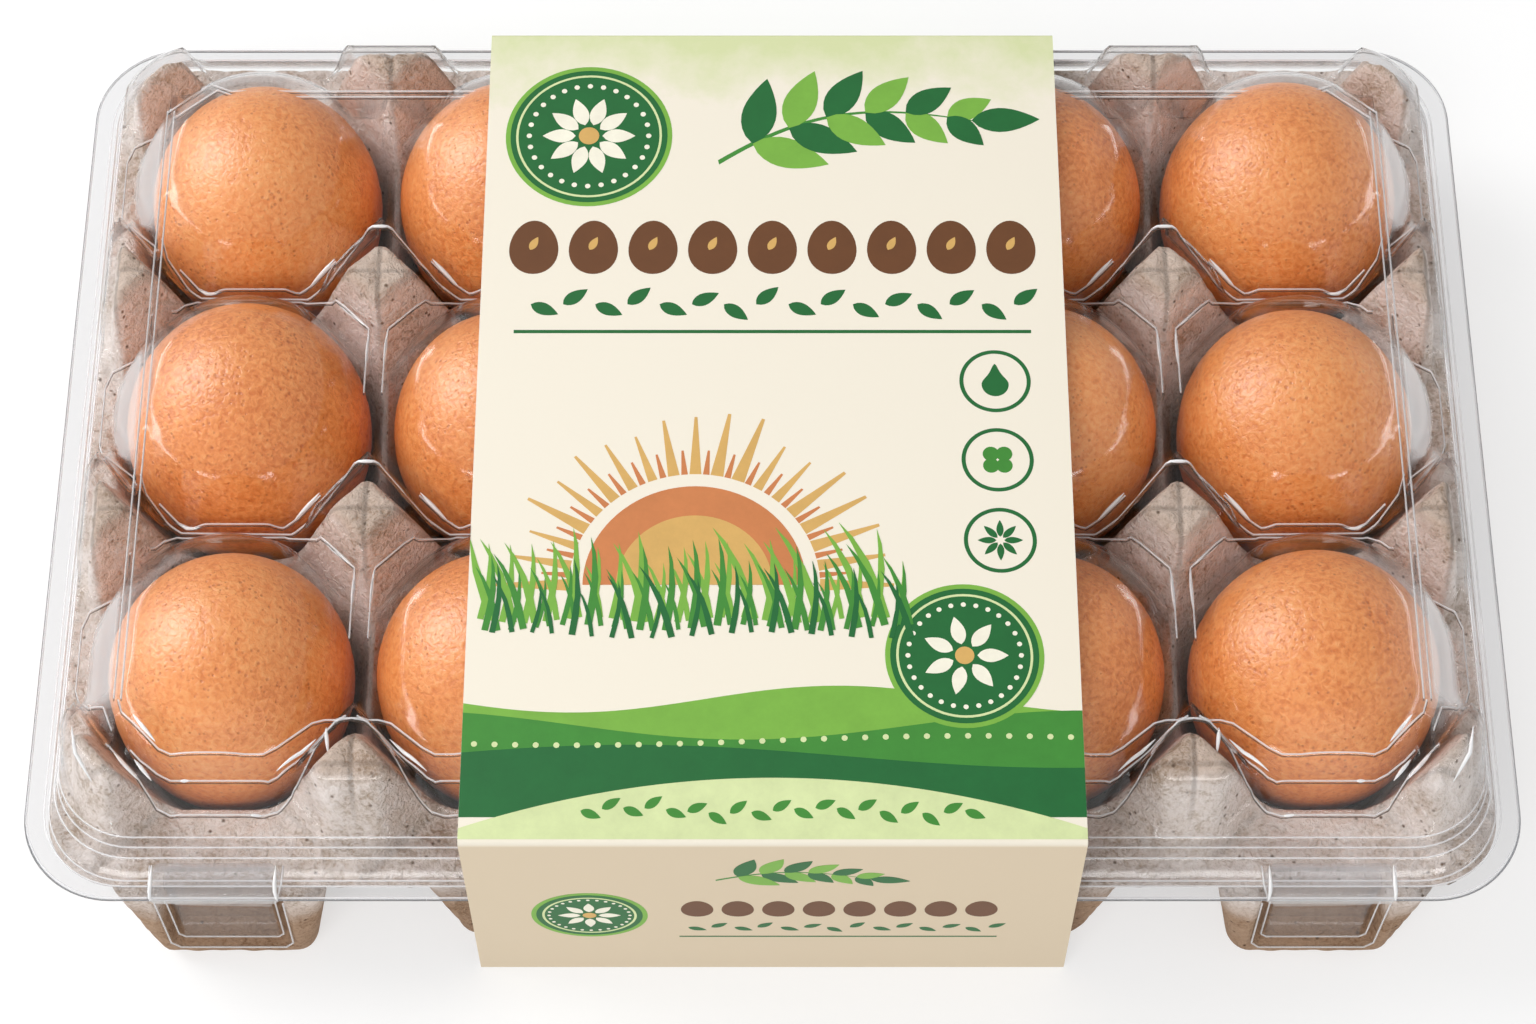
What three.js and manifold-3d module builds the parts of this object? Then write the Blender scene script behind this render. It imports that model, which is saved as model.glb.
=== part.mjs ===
// A shut pack of fifteen brown eggs: a moulded pulp tray, a clear formed lid and a paper sleeve.
// Millimetres, +Z up. The origin is under the middle of the pack, on the surface that it stands on.
// The front, with the two latches, faces -Y.
import * as THREE from 'three';
import { mergeVertices } from 'three/addons/utils/BufferGeometryUtils.js';
import Module from 'manifold-3d';

// The grid of eggs
const COLUMNS = 5;
const ROWS = 3;
const PITCH_X = 50;
const PITCH_Y = 51.2;
const GRID_Y = 3.3; // the latches take more room at the front, so the eggs sit to the rear
const GRID_HALF_X = (COLUMNS * PITCH_X) / 2;
const GRID_FRONT = GRID_Y - (ROWS * PITCH_Y) / 2;
const GRID_REAR = GRID_Y + (ROWS * PITCH_Y) / 2;

// An egg, blunt end up
const EGG_RADIUS = 22.1;
const EGG_HALF_LENGTH = 27.7;
const EGG_BOTTOM = 2.8;
const EGG_BLUNT = 0.045; // how much fuller the upper half is than the lower
const EGG_SPREAD = 0.03; // the smallest egg is this share smaller than the largest
const EGG_SIDES = 14;
const EGG_BANDS = 8;

// The pulp tray: the wall of a pocket, from its floor up to the flat top of a post, as [radius, height]
const PULP = 1.6;
const TRAY_BASE = 0.9;
const POST_TOP = 50.2;
const POCKET = [[8.5, 2.3], [14.5, 5.6], [20.6, 15], [24.6, 25.5], [30.8, 48], [32.8, POST_TOP]];
const POCKET_LIP = 3; // the point of that line between two eggs, where the posts begin
const RIM_TOP = 29.5;
const RIM_THICK = 1.6;
// How far the tray reaches at each height, as [height, side, front, rear], all measured from the grid's edge
const TRAY_SIDES = [[RIM_TOP, 7, 15, 9.4], [RIM_TOP + 2, 2.9, 9.4, 4.6], [45, 1.3, 3.8, 2.2], [POST_TOP, -0.4, 0.9, -1.2]];
const TRAY_CORNER = 14;

// The two latch lugs at the front of the tray, and the smaller bulges between them
const LATCH_X = 2 * PITCH_X;
const LUG = { topHalf: 18, baseHalf: 12.6, front: -90, rear: -76, top: 28.6 };
const BULGE = { topHalf: 15, baseHalf: 8, front: -87.6, rear: -76, top: 28.6 };
const RECESS = { half: 9.5, depth: 5.5, floor: 7.5 };

// The clear lid: a lobe over each egg as [radius, height], and a smaller hump over each post
const FILM = 0.6;
const LID_TOP = 59.4;
const VALLEY = 38.5;
const LOBE = [[9.8, LID_TOP], [15.6, 52.9], [24.3, VALLEY + 0.5], [30, 29]];
const LOBE_FRONT = [15, 23, 31, 40]; // how far the front row's lobes reach forward at those heights
const HUMP = [[7.6, 51.4], [13.3, VALLEY], [17, 30]];
const LID_SIDES = [[30, 4.8, 10.8, 6.8], [36, 4.2, 9.9, 5.9], [46.5, 2.9, 5.4, 3.1], [51.4, 1.4, 2.5, -0.2],
  [LID_TOP + 1, -3, -2, -7]];
const LEDGE = [[32.1, 6.5, 15.6, 8.1], [33, 5.9, 15.1, 7.7], [36, 4.9, 12.5, 6.8]];
const FLANGE = { bottom: 31.5, top: 32.1, side: 10.75, front: 19.2, rear: 12.1, corner: 17 };
const LID_CORNER = 14.5;
const SNAP = { half: 11, front: -92.1, rear: -87.2, top: 36 };
const PLUG = { half: 8.4, front: -89.4, rear: -85.4, bottom: 9 };

// The paper sleeve round the middle
const PAPER = 0.6;
const SLEEVE_WIDTH = 108.8;
const SLEEVE_TOP = 60.3;
const SLEEVE_FRONT = -93.6;
const SLEEVE_REAR = 93.6;
const SLEEVE_REAR_FOLD = 76;
const SLEEVE_SHOULDER = 34;

const CORNER_STEPS = 4;
const OCTAGON = Math.tan(Math.PI / 8); // half a side of an octagon, as a share of its radius

const wasm = await Module();
wasm.setup();

const COLOURS = { pulp: 0x9c8b7b, film: 0xe9eef0, egg: 0xc77e4c, paper: 0xf1e8cf };

function columnX(column) {
  return (column - (COLUMNS - 1) / 2) * PITCH_X;
}

function rowY(row) {
  return GRID_Y + (row - (ROWS - 1) / 2) * PITCH_Y;
}

// A closed solid through rings of points, given from the lowest to the highest. Each ring is convex.
function loft(rings) {
  const count = rings[0].length;
  const positions = rings.flat(2);
  const faces = [];
  for (let k = 0; k + 1 < rings.length; k += 1) {
    for (let i = 0; i < count; i += 1) {
      const a = k * count + i;
      const b = k * count + ((i + 1) % count);
      faces.push(a, b, b + count, a, b + count, a + count);
    }
  }
  const last = (rings.length - 1) * count;
  for (let i = 1; i + 1 < count; i += 1) {
    faces.push(0, i + 1, i);
    faces.push(last, last + i, last + i + 1);
  }
  const geometry = new THREE.BufferGeometry();
  geometry.setAttribute('position', new THREE.Float32BufferAttribute(positions, 3));
  geometry.setIndex(faces);
  return solidOf(geometry);
}

function solidOf(geometry) {
  const plain = geometry.clone();
  plain.deleteAttribute('normal');
  plain.deleteAttribute('uv');
  const merged = mergeVertices(plain, 1e-4);
  const mesh = new wasm.Mesh({
    numProp: 3,
    vertProperties: Float32Array.from(merged.attributes.position.array),
    triVerts: Uint32Array.from(merged.index.array),
  });
  return new wasm.Manifold(mesh);
}

function geometryOf(solid) {
  const mesh = solid.getMesh();
  const geometry = new THREE.BufferGeometry();
  geometry.setAttribute('position', new THREE.Float32BufferAttribute(mesh.vertProperties, 3));
  geometry.setIndex(Array.from(mesh.triVerts));
  geometry.computeVertexNormals();
  return geometry;
}

function joined(solids) {
  return solids.reduce((whole, next) => whole.add(next));
}

// Moves a line of [radius, height] points sideways by a distance, with mitred corners
function offsetLine(line, distance) {
  const normals = [];
  for (let i = 0; i + 1 < line.length; i += 1) {
    const across = line[i + 1][0] - line[i][0];
    const up = line[i + 1][1] - line[i][1];
    const length = Math.hypot(across, up);
    normals.push([up / length, -across / length]);
  }
  return line.map(([radius, height], i) => {
    const before = normals[Math.max(i - 1, 0)];
    const after = normals[Math.min(i, normals.length - 1)];
    const scale = distance / (1 + before[0] * after[0] + before[1] * after[1]);
    return [radius + (before[0] + after[0]) * scale, height + (before[1] + after[1]) * scale];
  });
}

function octagonRing(x, y, radius, height) {
  const short = radius * OCTAGON;
  const corners = [
    [radius, -short], [radius, short], [short, radius], [-short, radius],
    [-radius, short], [-radius, -short], [-short, -radius], [short, -radius],
  ];
  return corners.map(([dx, dy]) => [x + dx, y + dy, height]);
}

function diamondRing(x, y, radius, height) {
  return [[radius, 0], [0, radius], [-radius, 0], [0, -radius]].map(([dx, dy]) => [x + dx, y + dy, height]);
}

// A rectangle with round corners, reaching past the grid of pockets by a distance on each side
function frameRing(height, side, front, rear, corner) {
  const x = GRID_HALF_X + side - corner;
  const low = GRID_FRONT - front + corner;
  const high = GRID_REAR + rear - corner;
  const centres = [[x, low], [x, high], [-x, high], [-x, low]];
  return centres.flatMap(([cx, cy], quarter) => {
    const arc = [];
    for (let k = 0; k <= CORNER_STEPS; k += 1) {
      const angle = ((quarter - 1 + k / CORNER_STEPS) * Math.PI) / 2;
      arc.push([cx + corner * Math.cos(angle), cy + corner * Math.sin(angle), height]);
    }
    return arc;
  });
}

// The rings of a frame whose three reaches are each moved inwards by the wall's thickness
function frameRings(sides, inset, corner) {
  const reach = (k) => offsetLine(sides.map((row) => [row[k], row[0]]), -inset);
  const [side, front, rear] = [reach(1), reach(2), reach(3)];
  return sides.map((row, i) => frameRing(side[i][1], side[i][0], front[i][0], rear[i][0], corner));
}

function box(x0, x1, y0, y1, z0, z1) {
  const ring = (z) => [[x0, y0, z], [x1, y0, z], [x1, y1, z], [x0, y1, z]];
  return loft([ring(z0), ring(z1)]);
}

// The space of one pocket, up past the posts. A wall's thickness gives the space outside the pulp.
function pocketSpace(x, y, thickness) {
  const line = offsetLine(POCKET, thickness);
  const rings = line.map(([radius, height]) => octagonRing(x, y, radius, height));
  const [radius, height] = line[line.length - 1];
  rings.push(octagonRing(x, y, radius + 1, height + PULP + 1));
  return loft(rings);
}

// What a neighbouring pocket would leave of a post past the grid's edge, down to the rim
function outsideSpace(x, y, thickness) {
  const line = offsetLine(POCKET.slice(POCKET_LIP), thickness);
  const floor = RIM_TOP - thickness;
  const share = (floor - line[0][1]) / (line[1][1] - line[0][1]);
  line[0] = [line[0][0] + share * (line[1][0] - line[0][0]), floor];
  const rings = line.map(([radius, height]) => octagonRing(x, y, radius, height));
  const [radius, height] = line[line.length - 1];
  rings.push(octagonRing(x, y, radius + 1, height + PULP + 1));
  return loft(rings);
}

function allPockets(thickness) {
  const spaces = [];
  for (let column = -1; column <= COLUMNS; column += 1) {
    for (let row = -1; row <= ROWS; row += 1) {
      const inside = column >= 0 && column < COLUMNS && row >= 0 && row < ROWS;
      const space = inside ? pocketSpace : outsideSpace;
      spaces.push(space(columnX(column), rowY(row), thickness));
    }
  }
  return joined(spaces);
}

// A tapered bulge at the front of the tray. Inside the pulp, it opens to the rear and below.
function bulgeSolid(x, bulge, inset) {
  const rear = bulge.rear + inset * 1.5;
  const front = bulge.front + inset;
  const corner = 3;
  const ring = (half, z) => [
    [x - half + corner, front, z], [x + half - corner, front, z], [x + half, front + corner, z],
    [x + half, rear, z], [x - half, rear, z], [x - half, front + corner, z],
  ];
  const base = inset > 0 ? -5 : TRAY_BASE;
  return loft([
    ring(bulge.baseHalf - inset - 2, base),
    ring(bulge.baseHalf - inset, TRAY_BASE + 3),
    ring(bulge.topHalf - inset, bulge.top - inset),
  ]);
}

function frontBulges(inset) {
  const lugs = [-LATCH_X, LATCH_X].map((x) => bulgeSolid(x, LUG, inset));
  const between = [-PITCH_X, 0, PITCH_X].map((x) => bulgeSolid(x, BULGE, inset));
  return joined([...lugs, ...between]);
}

function latchRecesses(grow) {
  const half = RECESS.half + grow;
  const rear = LUG.front + RECESS.depth + grow;
  return joined([-LATCH_X, LATCH_X].map((x) => (
    box(x - half, x + half, LUG.front - 5, rear, RECESS.floor - grow, RIM_TOP + 1 + grow)
  )));
}

function traySolid() {
  const base = frameRing(TRAY_BASE, TRAY_SIDES[0][1], TRAY_SIDES[0][2], TRAY_SIDES[0][3], TRAY_CORNER);
  const outer = loft([base, ...frameRings(TRAY_SIDES, 0, TRAY_CORNER)]);
  const innerRings = frameRings(TRAY_SIDES, PULP, TRAY_CORNER);
  const inner = loft([frameRing(-5, 0, 0, 0, TRAY_CORNER), ...innerRings.slice(1)]);
  const below = box(-200, 200, -200, 200, -5, RIM_TOP - RIM_THICK);
  const top = outer.add(frontBulges(0)).subtract(allPockets(0)).subtract(latchRecesses(0));
  const hollow = below.subtract(frontBulges(0)).add(inner).add(frontBulges(PULP));
  return top.subtract(hollow.subtract(allPockets(PULP)).subtract(latchRecesses(PULP)));
}

// The dome over one egg. Lobes in a row run into each other, so only the outer ones end in a flat face.
function lobeSolid(column, row, inset) {
  const x = columnX(column);
  const y = rowY(row);
  const line = offsetLine([...LOBE].reverse(), -inset);
  const forward = row === 0 ? [...LOBE_FRONT].reverse() : null;
  const rings = line.map(([radius, height], i) => {
    const flat = radius * OCTAGON;
    const long = radius * Math.SQRT2;
    const near = forward ? forward[i] - inset : radius;
    const side = (sign, outer) => (outer
      ? [[sign * radius, -flat * sign], [sign * radius, flat * sign]]
      : [[sign * long, -0.01 * sign], [sign * long, 0.01 * sign]]);
    const right = side(1, column === COLUMNS - 1);
    const left = side(-1, column === 0);
    const corners = [...right, [flat, radius], [-flat, radius], ...left, [-flat, -near], [flat, -near]];
    return corners.map(([dx, dy]) => [x + dx, y + dy, height]);
  });
  return loft(rings);
}

function humpSolid(x, y, inset) {
  const line = offsetLine([...HUMP].reverse(), -inset);
  return loft(line.map(([radius, height]) => diamondRing(x, y, radius, height)));
}

// The lid's outer form, or the space under its film when it is moved in by the film's thickness
function lidBody(inset) {
  const parts = [loft([
    frameRing(29, 4.8 - inset, 10.8 - inset, 6.8 - inset, LID_CORNER),
    frameRing(VALLEY - inset, 4.2 - inset, 9.9 - inset, 5.9 - inset, LID_CORNER),
  ])];
  for (let column = 0; column < COLUMNS; column += 1) {
    for (let row = 0; row < ROWS; row += 1) {
      parts.push(lobeSolid(column, row, inset));
    }
  }
  for (let i = 0; i <= COLUMNS; i += 1) {
    for (let j = 0; j <= ROWS; j += 1) {
      parts.push(humpSolid(columnX(i) - PITCH_X / 2, rowY(j) - PITCH_Y / 2, inset));
    }
  }
  return joined(parts).intersect(loft(frameRings(LID_SIDES, inset, LID_CORNER)));
}

// A raised block on the flange with a plug under it. Both are hollow, and the plug is open below.
function snapSolid(x, inset) {
  const floor = inset > 0 ? FLANGE.top : FLANGE.bottom;
  const body = box(x - SNAP.half + inset, x + SNAP.half - inset, SNAP.front + inset, SNAP.rear - inset,
    floor, SNAP.top - inset);
  const plug = box(x - PLUG.half + inset, x + PLUG.half - inset, PLUG.front + inset, PLUG.rear - inset,
    PLUG.bottom - inset, SNAP.top - 1 - inset);
  return body.add(plug);
}

function lidSolid() {
  const flangeRing = (z) => frameRing(z, FLANGE.side, FLANGE.front, FLANGE.rear, FLANGE.corner);
  const flange = loft([flangeRing(FLANGE.bottom), flangeRing(FLANGE.top)]);
  const ledgeFoot = (inset, z) => frameRing(z, LEDGE[0][1] - inset, LEDGE[0][2] - inset, LEDGE[0][3] - inset, LID_CORNER);
  const ledge = (inset) => loft([ledgeFoot(inset, 30), ...frameRings(LEDGE, inset, LID_CORNER)]);
  const snaps = (inset) => joined([-LATCH_X, LATCH_X].map((x) => snapSolid(x, inset)));
  const keep = box(-200, 200, -200, 200, FLANGE.bottom, 100);
  const shell = lidBody(0).add(ledge(0)).intersect(keep).add(flange).add(snaps(0));
  return shell.subtract(lidBody(FILM)).subtract(ledge(FILM)).subtract(snaps(FILM));
}

function sleeveGeometry() {
  const outline = (inset) => [
    [SLEEVE_FRONT + inset, inset], [SLEEVE_REAR - inset, inset], [SLEEVE_REAR - inset, SLEEVE_SHOULDER],
    [SLEEVE_REAR_FOLD - inset * 0.6, SLEEVE_TOP - inset], [SLEEVE_FRONT + inset, SLEEVE_TOP - inset],
  ].map(([y, z]) => new THREE.Vector2(y, z));
  const shape = new THREE.Shape(outline(0));
  shape.holes.push(new THREE.Path(outline(PAPER)));
  return new THREE.ExtrudeGeometry(shape, { depth: SLEEVE_WIDTH, bevelEnabled: false });
}

function eggGeometry(share) {
  const profile = [];
  for (let k = 0; k <= EGG_BANDS; k += 1) {
    const angle = Math.PI * (k / EGG_BANDS - 0.5);
    const height = Math.sin(angle);
    const radius = EGG_RADIUS * share * Math.cos(angle) * (1 + EGG_BLUNT * height);
    const closed = k === 0 || k === EGG_BANDS;
    profile.push(new THREE.Vector2(closed ? 0 : radius, EGG_HALF_LENGTH * share * height));
  }
  return new THREE.LatheGeometry(profile, EGG_SIDES);
}

// A small fixed unevenness, so that no two eggs in sight are alike
function eggShare(column, row) {
  const wander = Math.sin(column * 2.3 + row * 4.1 + 0.7);
  return 1 - (EGG_SPREAD * (1 + wander)) / 2;
}

function named(name, geometry, colour, roughness, opacity) {
  const material = new THREE.MeshStandardMaterial({
    color: colour, roughness, metalness: 0, opacity, transparent: opacity < 1,
  });
  const mesh = new THREE.Mesh(geometry, material);
  mesh.name = name;
  return mesh;
}

const pack = new THREE.Group();
pack.add(named('tray', geometryOf(traySolid()), COLOURS.pulp, 0.95, 1));
pack.add(named('lid', geometryOf(lidSolid()), COLOURS.film, 0.06, 0.3));

const sleeve = named('sleeve', sleeveGeometry(), COLOURS.paper, 0.6, 1);
sleeve.rotation.set(0, Math.PI / 2, Math.PI / 2);
sleeve.position.x = -SLEEVE_WIDTH / 2;
pack.add(sleeve);

for (let row = 0; row < ROWS; row += 1) {
  for (let column = 0; column < COLUMNS; column += 1) {
    const share = eggShare(column, row);
    const egg = named(`egg_row${row + 1}_column${column + 1}`, eggGeometry(share), COLOURS.egg, 0.55, 1);
    egg.rotation.x = Math.PI / 2;
    egg.position.set(columnX(column), rowY(row), EGG_BOTTOM + EGG_HALF_LENGTH * share);
    pack.add(egg);
  }
}

export default pack;
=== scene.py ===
"""A shut pack of fifteen brown eggs: pulp tray, clear lid and printed paper sleeve, as in the photograph.

Sizes in the classes are in millimetres, as in the part's source, and meshes are made in metres.
"""

import logging
import math
from collections.abc import Callable
from dataclasses import dataclass, field
from enum import Enum

import bmesh
import bpy
import numpy as np
from bpy.types import Material, Mesh, Node, NodeSocket, NodeTree, Object
from mathutils import Matrix, Vector


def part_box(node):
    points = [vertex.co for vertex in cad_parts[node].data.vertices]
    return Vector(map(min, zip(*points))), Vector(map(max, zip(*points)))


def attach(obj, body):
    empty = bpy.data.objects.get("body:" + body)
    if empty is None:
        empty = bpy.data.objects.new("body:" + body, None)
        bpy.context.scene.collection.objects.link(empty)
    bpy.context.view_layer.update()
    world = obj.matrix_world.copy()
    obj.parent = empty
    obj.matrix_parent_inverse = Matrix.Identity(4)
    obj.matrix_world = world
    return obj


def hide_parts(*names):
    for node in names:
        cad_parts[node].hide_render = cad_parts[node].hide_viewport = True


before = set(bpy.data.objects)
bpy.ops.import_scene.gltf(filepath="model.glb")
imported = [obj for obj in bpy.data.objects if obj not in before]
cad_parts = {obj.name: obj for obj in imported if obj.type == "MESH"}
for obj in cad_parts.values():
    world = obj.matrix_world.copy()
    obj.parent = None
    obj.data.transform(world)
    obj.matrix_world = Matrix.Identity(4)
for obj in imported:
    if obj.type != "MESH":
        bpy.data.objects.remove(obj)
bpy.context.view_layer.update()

LOG = logging.getLogger("egg_pack")
MM = 0.001
PITCH_X = 50
PITCH_Y = 51.2
MIDDLE_Y = 3.3
ABOVE_ALL = 99.0
Colour = tuple[float, float, float]
Point = tuple[float, float, float]
Profile = list[tuple[float, float]]
Stops = tuple[tuple[float, Colour], ...]
Stations = list[tuple[float, ...]]
Places = np.ndarray
Heights = Callable[[Places, Places], Places]
Line = tuple[Point, ...]


def srgb(red: float, green: float, blue: float) -> Colour:
    """Turns a screen colour into linear light.

    Args:
        red: The red channel, 0 to 255.
        green: The green channel, 0 to 255.
        blue: The blue channel, 0 to 255.

    Returns:
        The three channels, 0 to 1.
    """
    def linear(value: float) -> float:
        """Takes one channel through the screen's curve."""
        share = value / 255
        return share / 12.92 if share <= 0.04045 else ((share + 0.055) / 1.055) ** 2.4
    return linear(red), linear(green), linear(blue)


def put(tree: NodeTree, kind: str, values: dict | None = None, **settings: object) -> Node:
    """Adds a node to a tree.

    Args:
        tree: The shader or geometry tree.
        kind: The node's type name.
        values: What each input gets, by name or index: a value, or a socket that is linked to it.
        settings: The node's own properties, set before its inputs.

    Returns:
        The new node.
    """
    node = tree.nodes.new(kind)
    for name, value in settings.items():
        setattr(node, name, value)
    for key, value in (values or {}).items():
        if isinstance(value, NodeSocket):
            tree.links.new(value, node.inputs[key])
        else:
            node.inputs[key].default_value = value
    return node


def maths(tree: NodeTree, how: str, *values: float | NodeSocket) -> NodeSocket:
    """Adds one sum to a tree and gives its result."""
    return put(tree, "ShaderNodeMath", dict(enumerate(values)), operation=how).outputs[0]


def fade(tree: NodeTree, value: NodeSocket, start: float, end: float, first: float = 0.0, last: float = 1.0,
         smooth: bool = False) -> NodeSocket:
    """Turns a value into a share that is held past both ends.

    Args:
        tree: The shader tree.
        value: The socket that drives it.
        start: Where the value starts to count.
        end: Where it has its full effect.
        first: The result up to the start.
        last: The result from the end on.
        smooth: Whether the change eases in and out.

    Returns:
        The result's socket.
    """
    ends = {"Value": value, "From Min": start, "From Max": end, "To Min": first, "To Max": last}
    way = "SMOOTHSTEP" if smooth else "LINEAR"
    return put(tree, "ShaderNodeMapRange", ends, interpolation_type=way).outputs[0]


def noise(tree: NodeTree, place: NodeSocket, scale: float, detail: float, roughness: float = 0.5,
          distortion: float = 0.0) -> NodeSocket:
    """Adds a cloudy pattern.

    Args:
        tree: The shader tree.
        place: The coordinates that it lies on.
        scale: How fine it is.
        detail: How many finer layers it has.
        roughness: How strong they are.
        distortion: How far it is swirled.

    Returns:
        The pattern, about 0 to 1.
    """
    return put(tree, "ShaderNodeTexNoise", {
        "Vector": place, "Scale": scale, "Detail": detail, "Roughness": roughness,
        "Distortion": distortion}).outputs["Fac"]


def blend(tree: NodeTree, share: float | NodeSocket, first: Colour | NodeSocket, second: Colour | NodeSocket,
          how: str = "MIX") -> NodeSocket:
    """Lays one colour over another.

    Args:
        tree: The shader tree.
        share: How much of the second colour there is.
        first: The colour below.
        second: The colour above.
        how: The way that they mix.

    Returns:
        The mixed colour.
    """
    below, above = (c if isinstance(c, NodeSocket) else (*c, 1) for c in (first, second))
    values = {"Factor": share, "A": below, "B": above}
    return put(tree, "ShaderNodeMix", values, data_type="RGBA", blend_type=how).outputs["Result"]


def relief(tree: NodeTree, height: NodeSocket, strength: float, depth: float) -> NodeSocket:
    """Turns a pattern into fine bumps of a depth in metres."""
    sizes = {"Strength": strength, "Distance": depth, "Height": height}
    return put(tree, "ShaderNodeBump", sizes).outputs["Normal"]


def new_material(name: str) -> tuple[Material, NodeTree, NodeSocket]:
    """Makes an empty material.

    Args:
        name: The material's name.

    Returns:
        The material, its tree and its Object coordinates.
    """
    material = bpy.data.materials.new(name)
    material.use_nodes = True
    tree = material.node_tree
    tree.nodes.clear()
    place = put(tree, "ShaderNodeTexCoord")
    return material, tree, place.outputs["Object"]


def finish_with(tree: NodeTree, shader: Node) -> None:
    """Leads a shader to the tree's output."""
    put(tree, "ShaderNodeOutputMaterial", {"Surface": shader.outputs[0]})


def ramp(tree: NodeTree, value: NodeSocket, stops: Stops) -> NodeSocket:
    """Turns a value into a colour.

    Args:
        tree: The shader tree.
        value: The socket that drives the colour.
        stops: Places from 0 to 1 and their colours.

    Returns:
        The colour socket.
    """
    node = put(tree, "ShaderNodeValToRGB", {"Fac": value})
    elements = node.color_ramp.elements
    while len(elements) < len(stops):
        elements.new(0.5)
    for element, (place, colour) in zip(elements, stops):
        element.position = place
        element.color = (*colour, 1)
    return node.outputs["Color"]


@dataclass(frozen=True)
class PulpFinish:
    """Grey-brown moulded pulp: matt, fibrous and a little blotchy, with painted shade in the grooves of the
    posts and painted shade and light by height.
    """

    pale: Colour = srgb(238, 227, 218)
    middle: Colour = srgb(221, 207, 195)
    dark: Colour = srgb(176, 154, 132)
    fleck: Colour = srgb(118, 98, 80)
    # Painted shade laid into the crossed grooves on the posts.
    painted_groove_shade: Colour = srgb(92, 74, 60)
    blotches: float = 75
    fibres: float = 620
    grains: float = 2100
    flecks: float = 330
    full_height: float = 60 * MM
    groove_edge: float = 0.75 * MM
    groove_core: float = 0.15 * MM
    groove_low: float = 37 * MM
    groove_high: float = 47 * MM
    # Painted shade and light by height: the pulp is darker low down, in the pockets and lug recesses, a
    # little lighter at mid height, and darker again from about 49 mm up near the post tops.
    wear_and_height_shade: Stops = (
        (0.0, (0.51, 0.365, 0.26)), (0.3, (0.585, 0.44, 0.325)), (0.46, (1.05, 1.05, 1.08)),
        (0.77, (1.05, 1.05, 1.08)), (0.825, (0.84, 0.75, 0.69)), (1.0, (0.8, 0.71, 0.65)))

    def make(self) -> Material:
        """Builds the material."""
        material, tree, place = new_material("moulded_pulp")
        blotch = noise(tree, place, self.blotches, 5.0, 0.6)
        fibre = noise(tree, place, self.fibres, 4.0, distortion=1.2)
        grain = noise(tree, place, self.grains, 3.0, 0.7)
        mixed = maths(tree, "MULTIPLY_ADD", fibre, 0.35, maths(tree, "MULTIPLY", blotch, 0.45))
        tone = maths(tree, "MULTIPLY_ADD", grain, 0.3, mixed)
        colour = ramp(tree, tone, ((0.42, self.dark), (0.53, self.middle), (0.64, self.pale)))
        cells = put(tree, "ShaderNodeTexVoronoi", {"Vector": place, "Scale": self.flecks})
        spotted = blend(tree, fade(tree, cells.outputs["Distance"], 0.05, 0.16), self.fleck, colour)
        axes = put(tree, "ShaderNodeSeparateXYZ", {0: place})
        level = fade(tree, axes.outputs["Z"], 0.0, self.full_height)
        # The pulp's colour is multiplied by the painted shade and light by height.
        height_shaded = blend(tree, 1.0, spotted, ramp(tree, level, self.wear_and_height_shade), "MULTIPLY")
        # Painted shade is laid over the pulp in the post grooves.
        groove_shaded = blend(tree, self.groove_shade(tree, axes), height_shaded, self.painted_groove_shade)
        bumps = relief(tree, maths(tree, "MULTIPLY_ADD", grain, 0.5, fibre), 0.85, 1.1 * MM)
        shader = put(tree, "ShaderNodeBsdfPrincipled", {
            "Base Color": groove_shaded, "Roughness": 0.93, "Specular IOR Level": 0.25, "Normal": bumps})
        finish_with(tree, shader)
        return material

    def groove_shade(self, tree: NodeTree, axes: Node) -> NodeSocket:
        """Finds the crossed grooves on the posts, where shade is painted in.

        Args:
            tree: The shader tree.
            axes: The node that splits a place into its axes.

        Returns:
            The share of painted shade.
        """
        def beside(axis: str, start: float, half_pitch: float) -> NodeSocket:
            """Gives 1 on a line of grooves and 0 beside it."""
            moved = maths(tree, "SUBTRACT", axes.outputs[axis], start * MM)
            away = maths(tree, "PINGPONG", moved, half_pitch * MM)
            return fade(tree, away, self.groove_edge, self.groove_core, smooth=True)
        along = beside("X", PITCH_X / 2, PITCH_X / 2)
        across = maths(tree, "MULTIPLY", beside("Y", MIDDLE_Y + PITCH_Y / 2, PITCH_Y / 2), 0.75)
        high = fade(tree, axes.outputs["Z"], self.groove_low, self.groove_high, 0.0, 0.42)
        return maths(tree, "MULTIPLY", maths(tree, "MAXIMUM", along, across), high)


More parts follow.
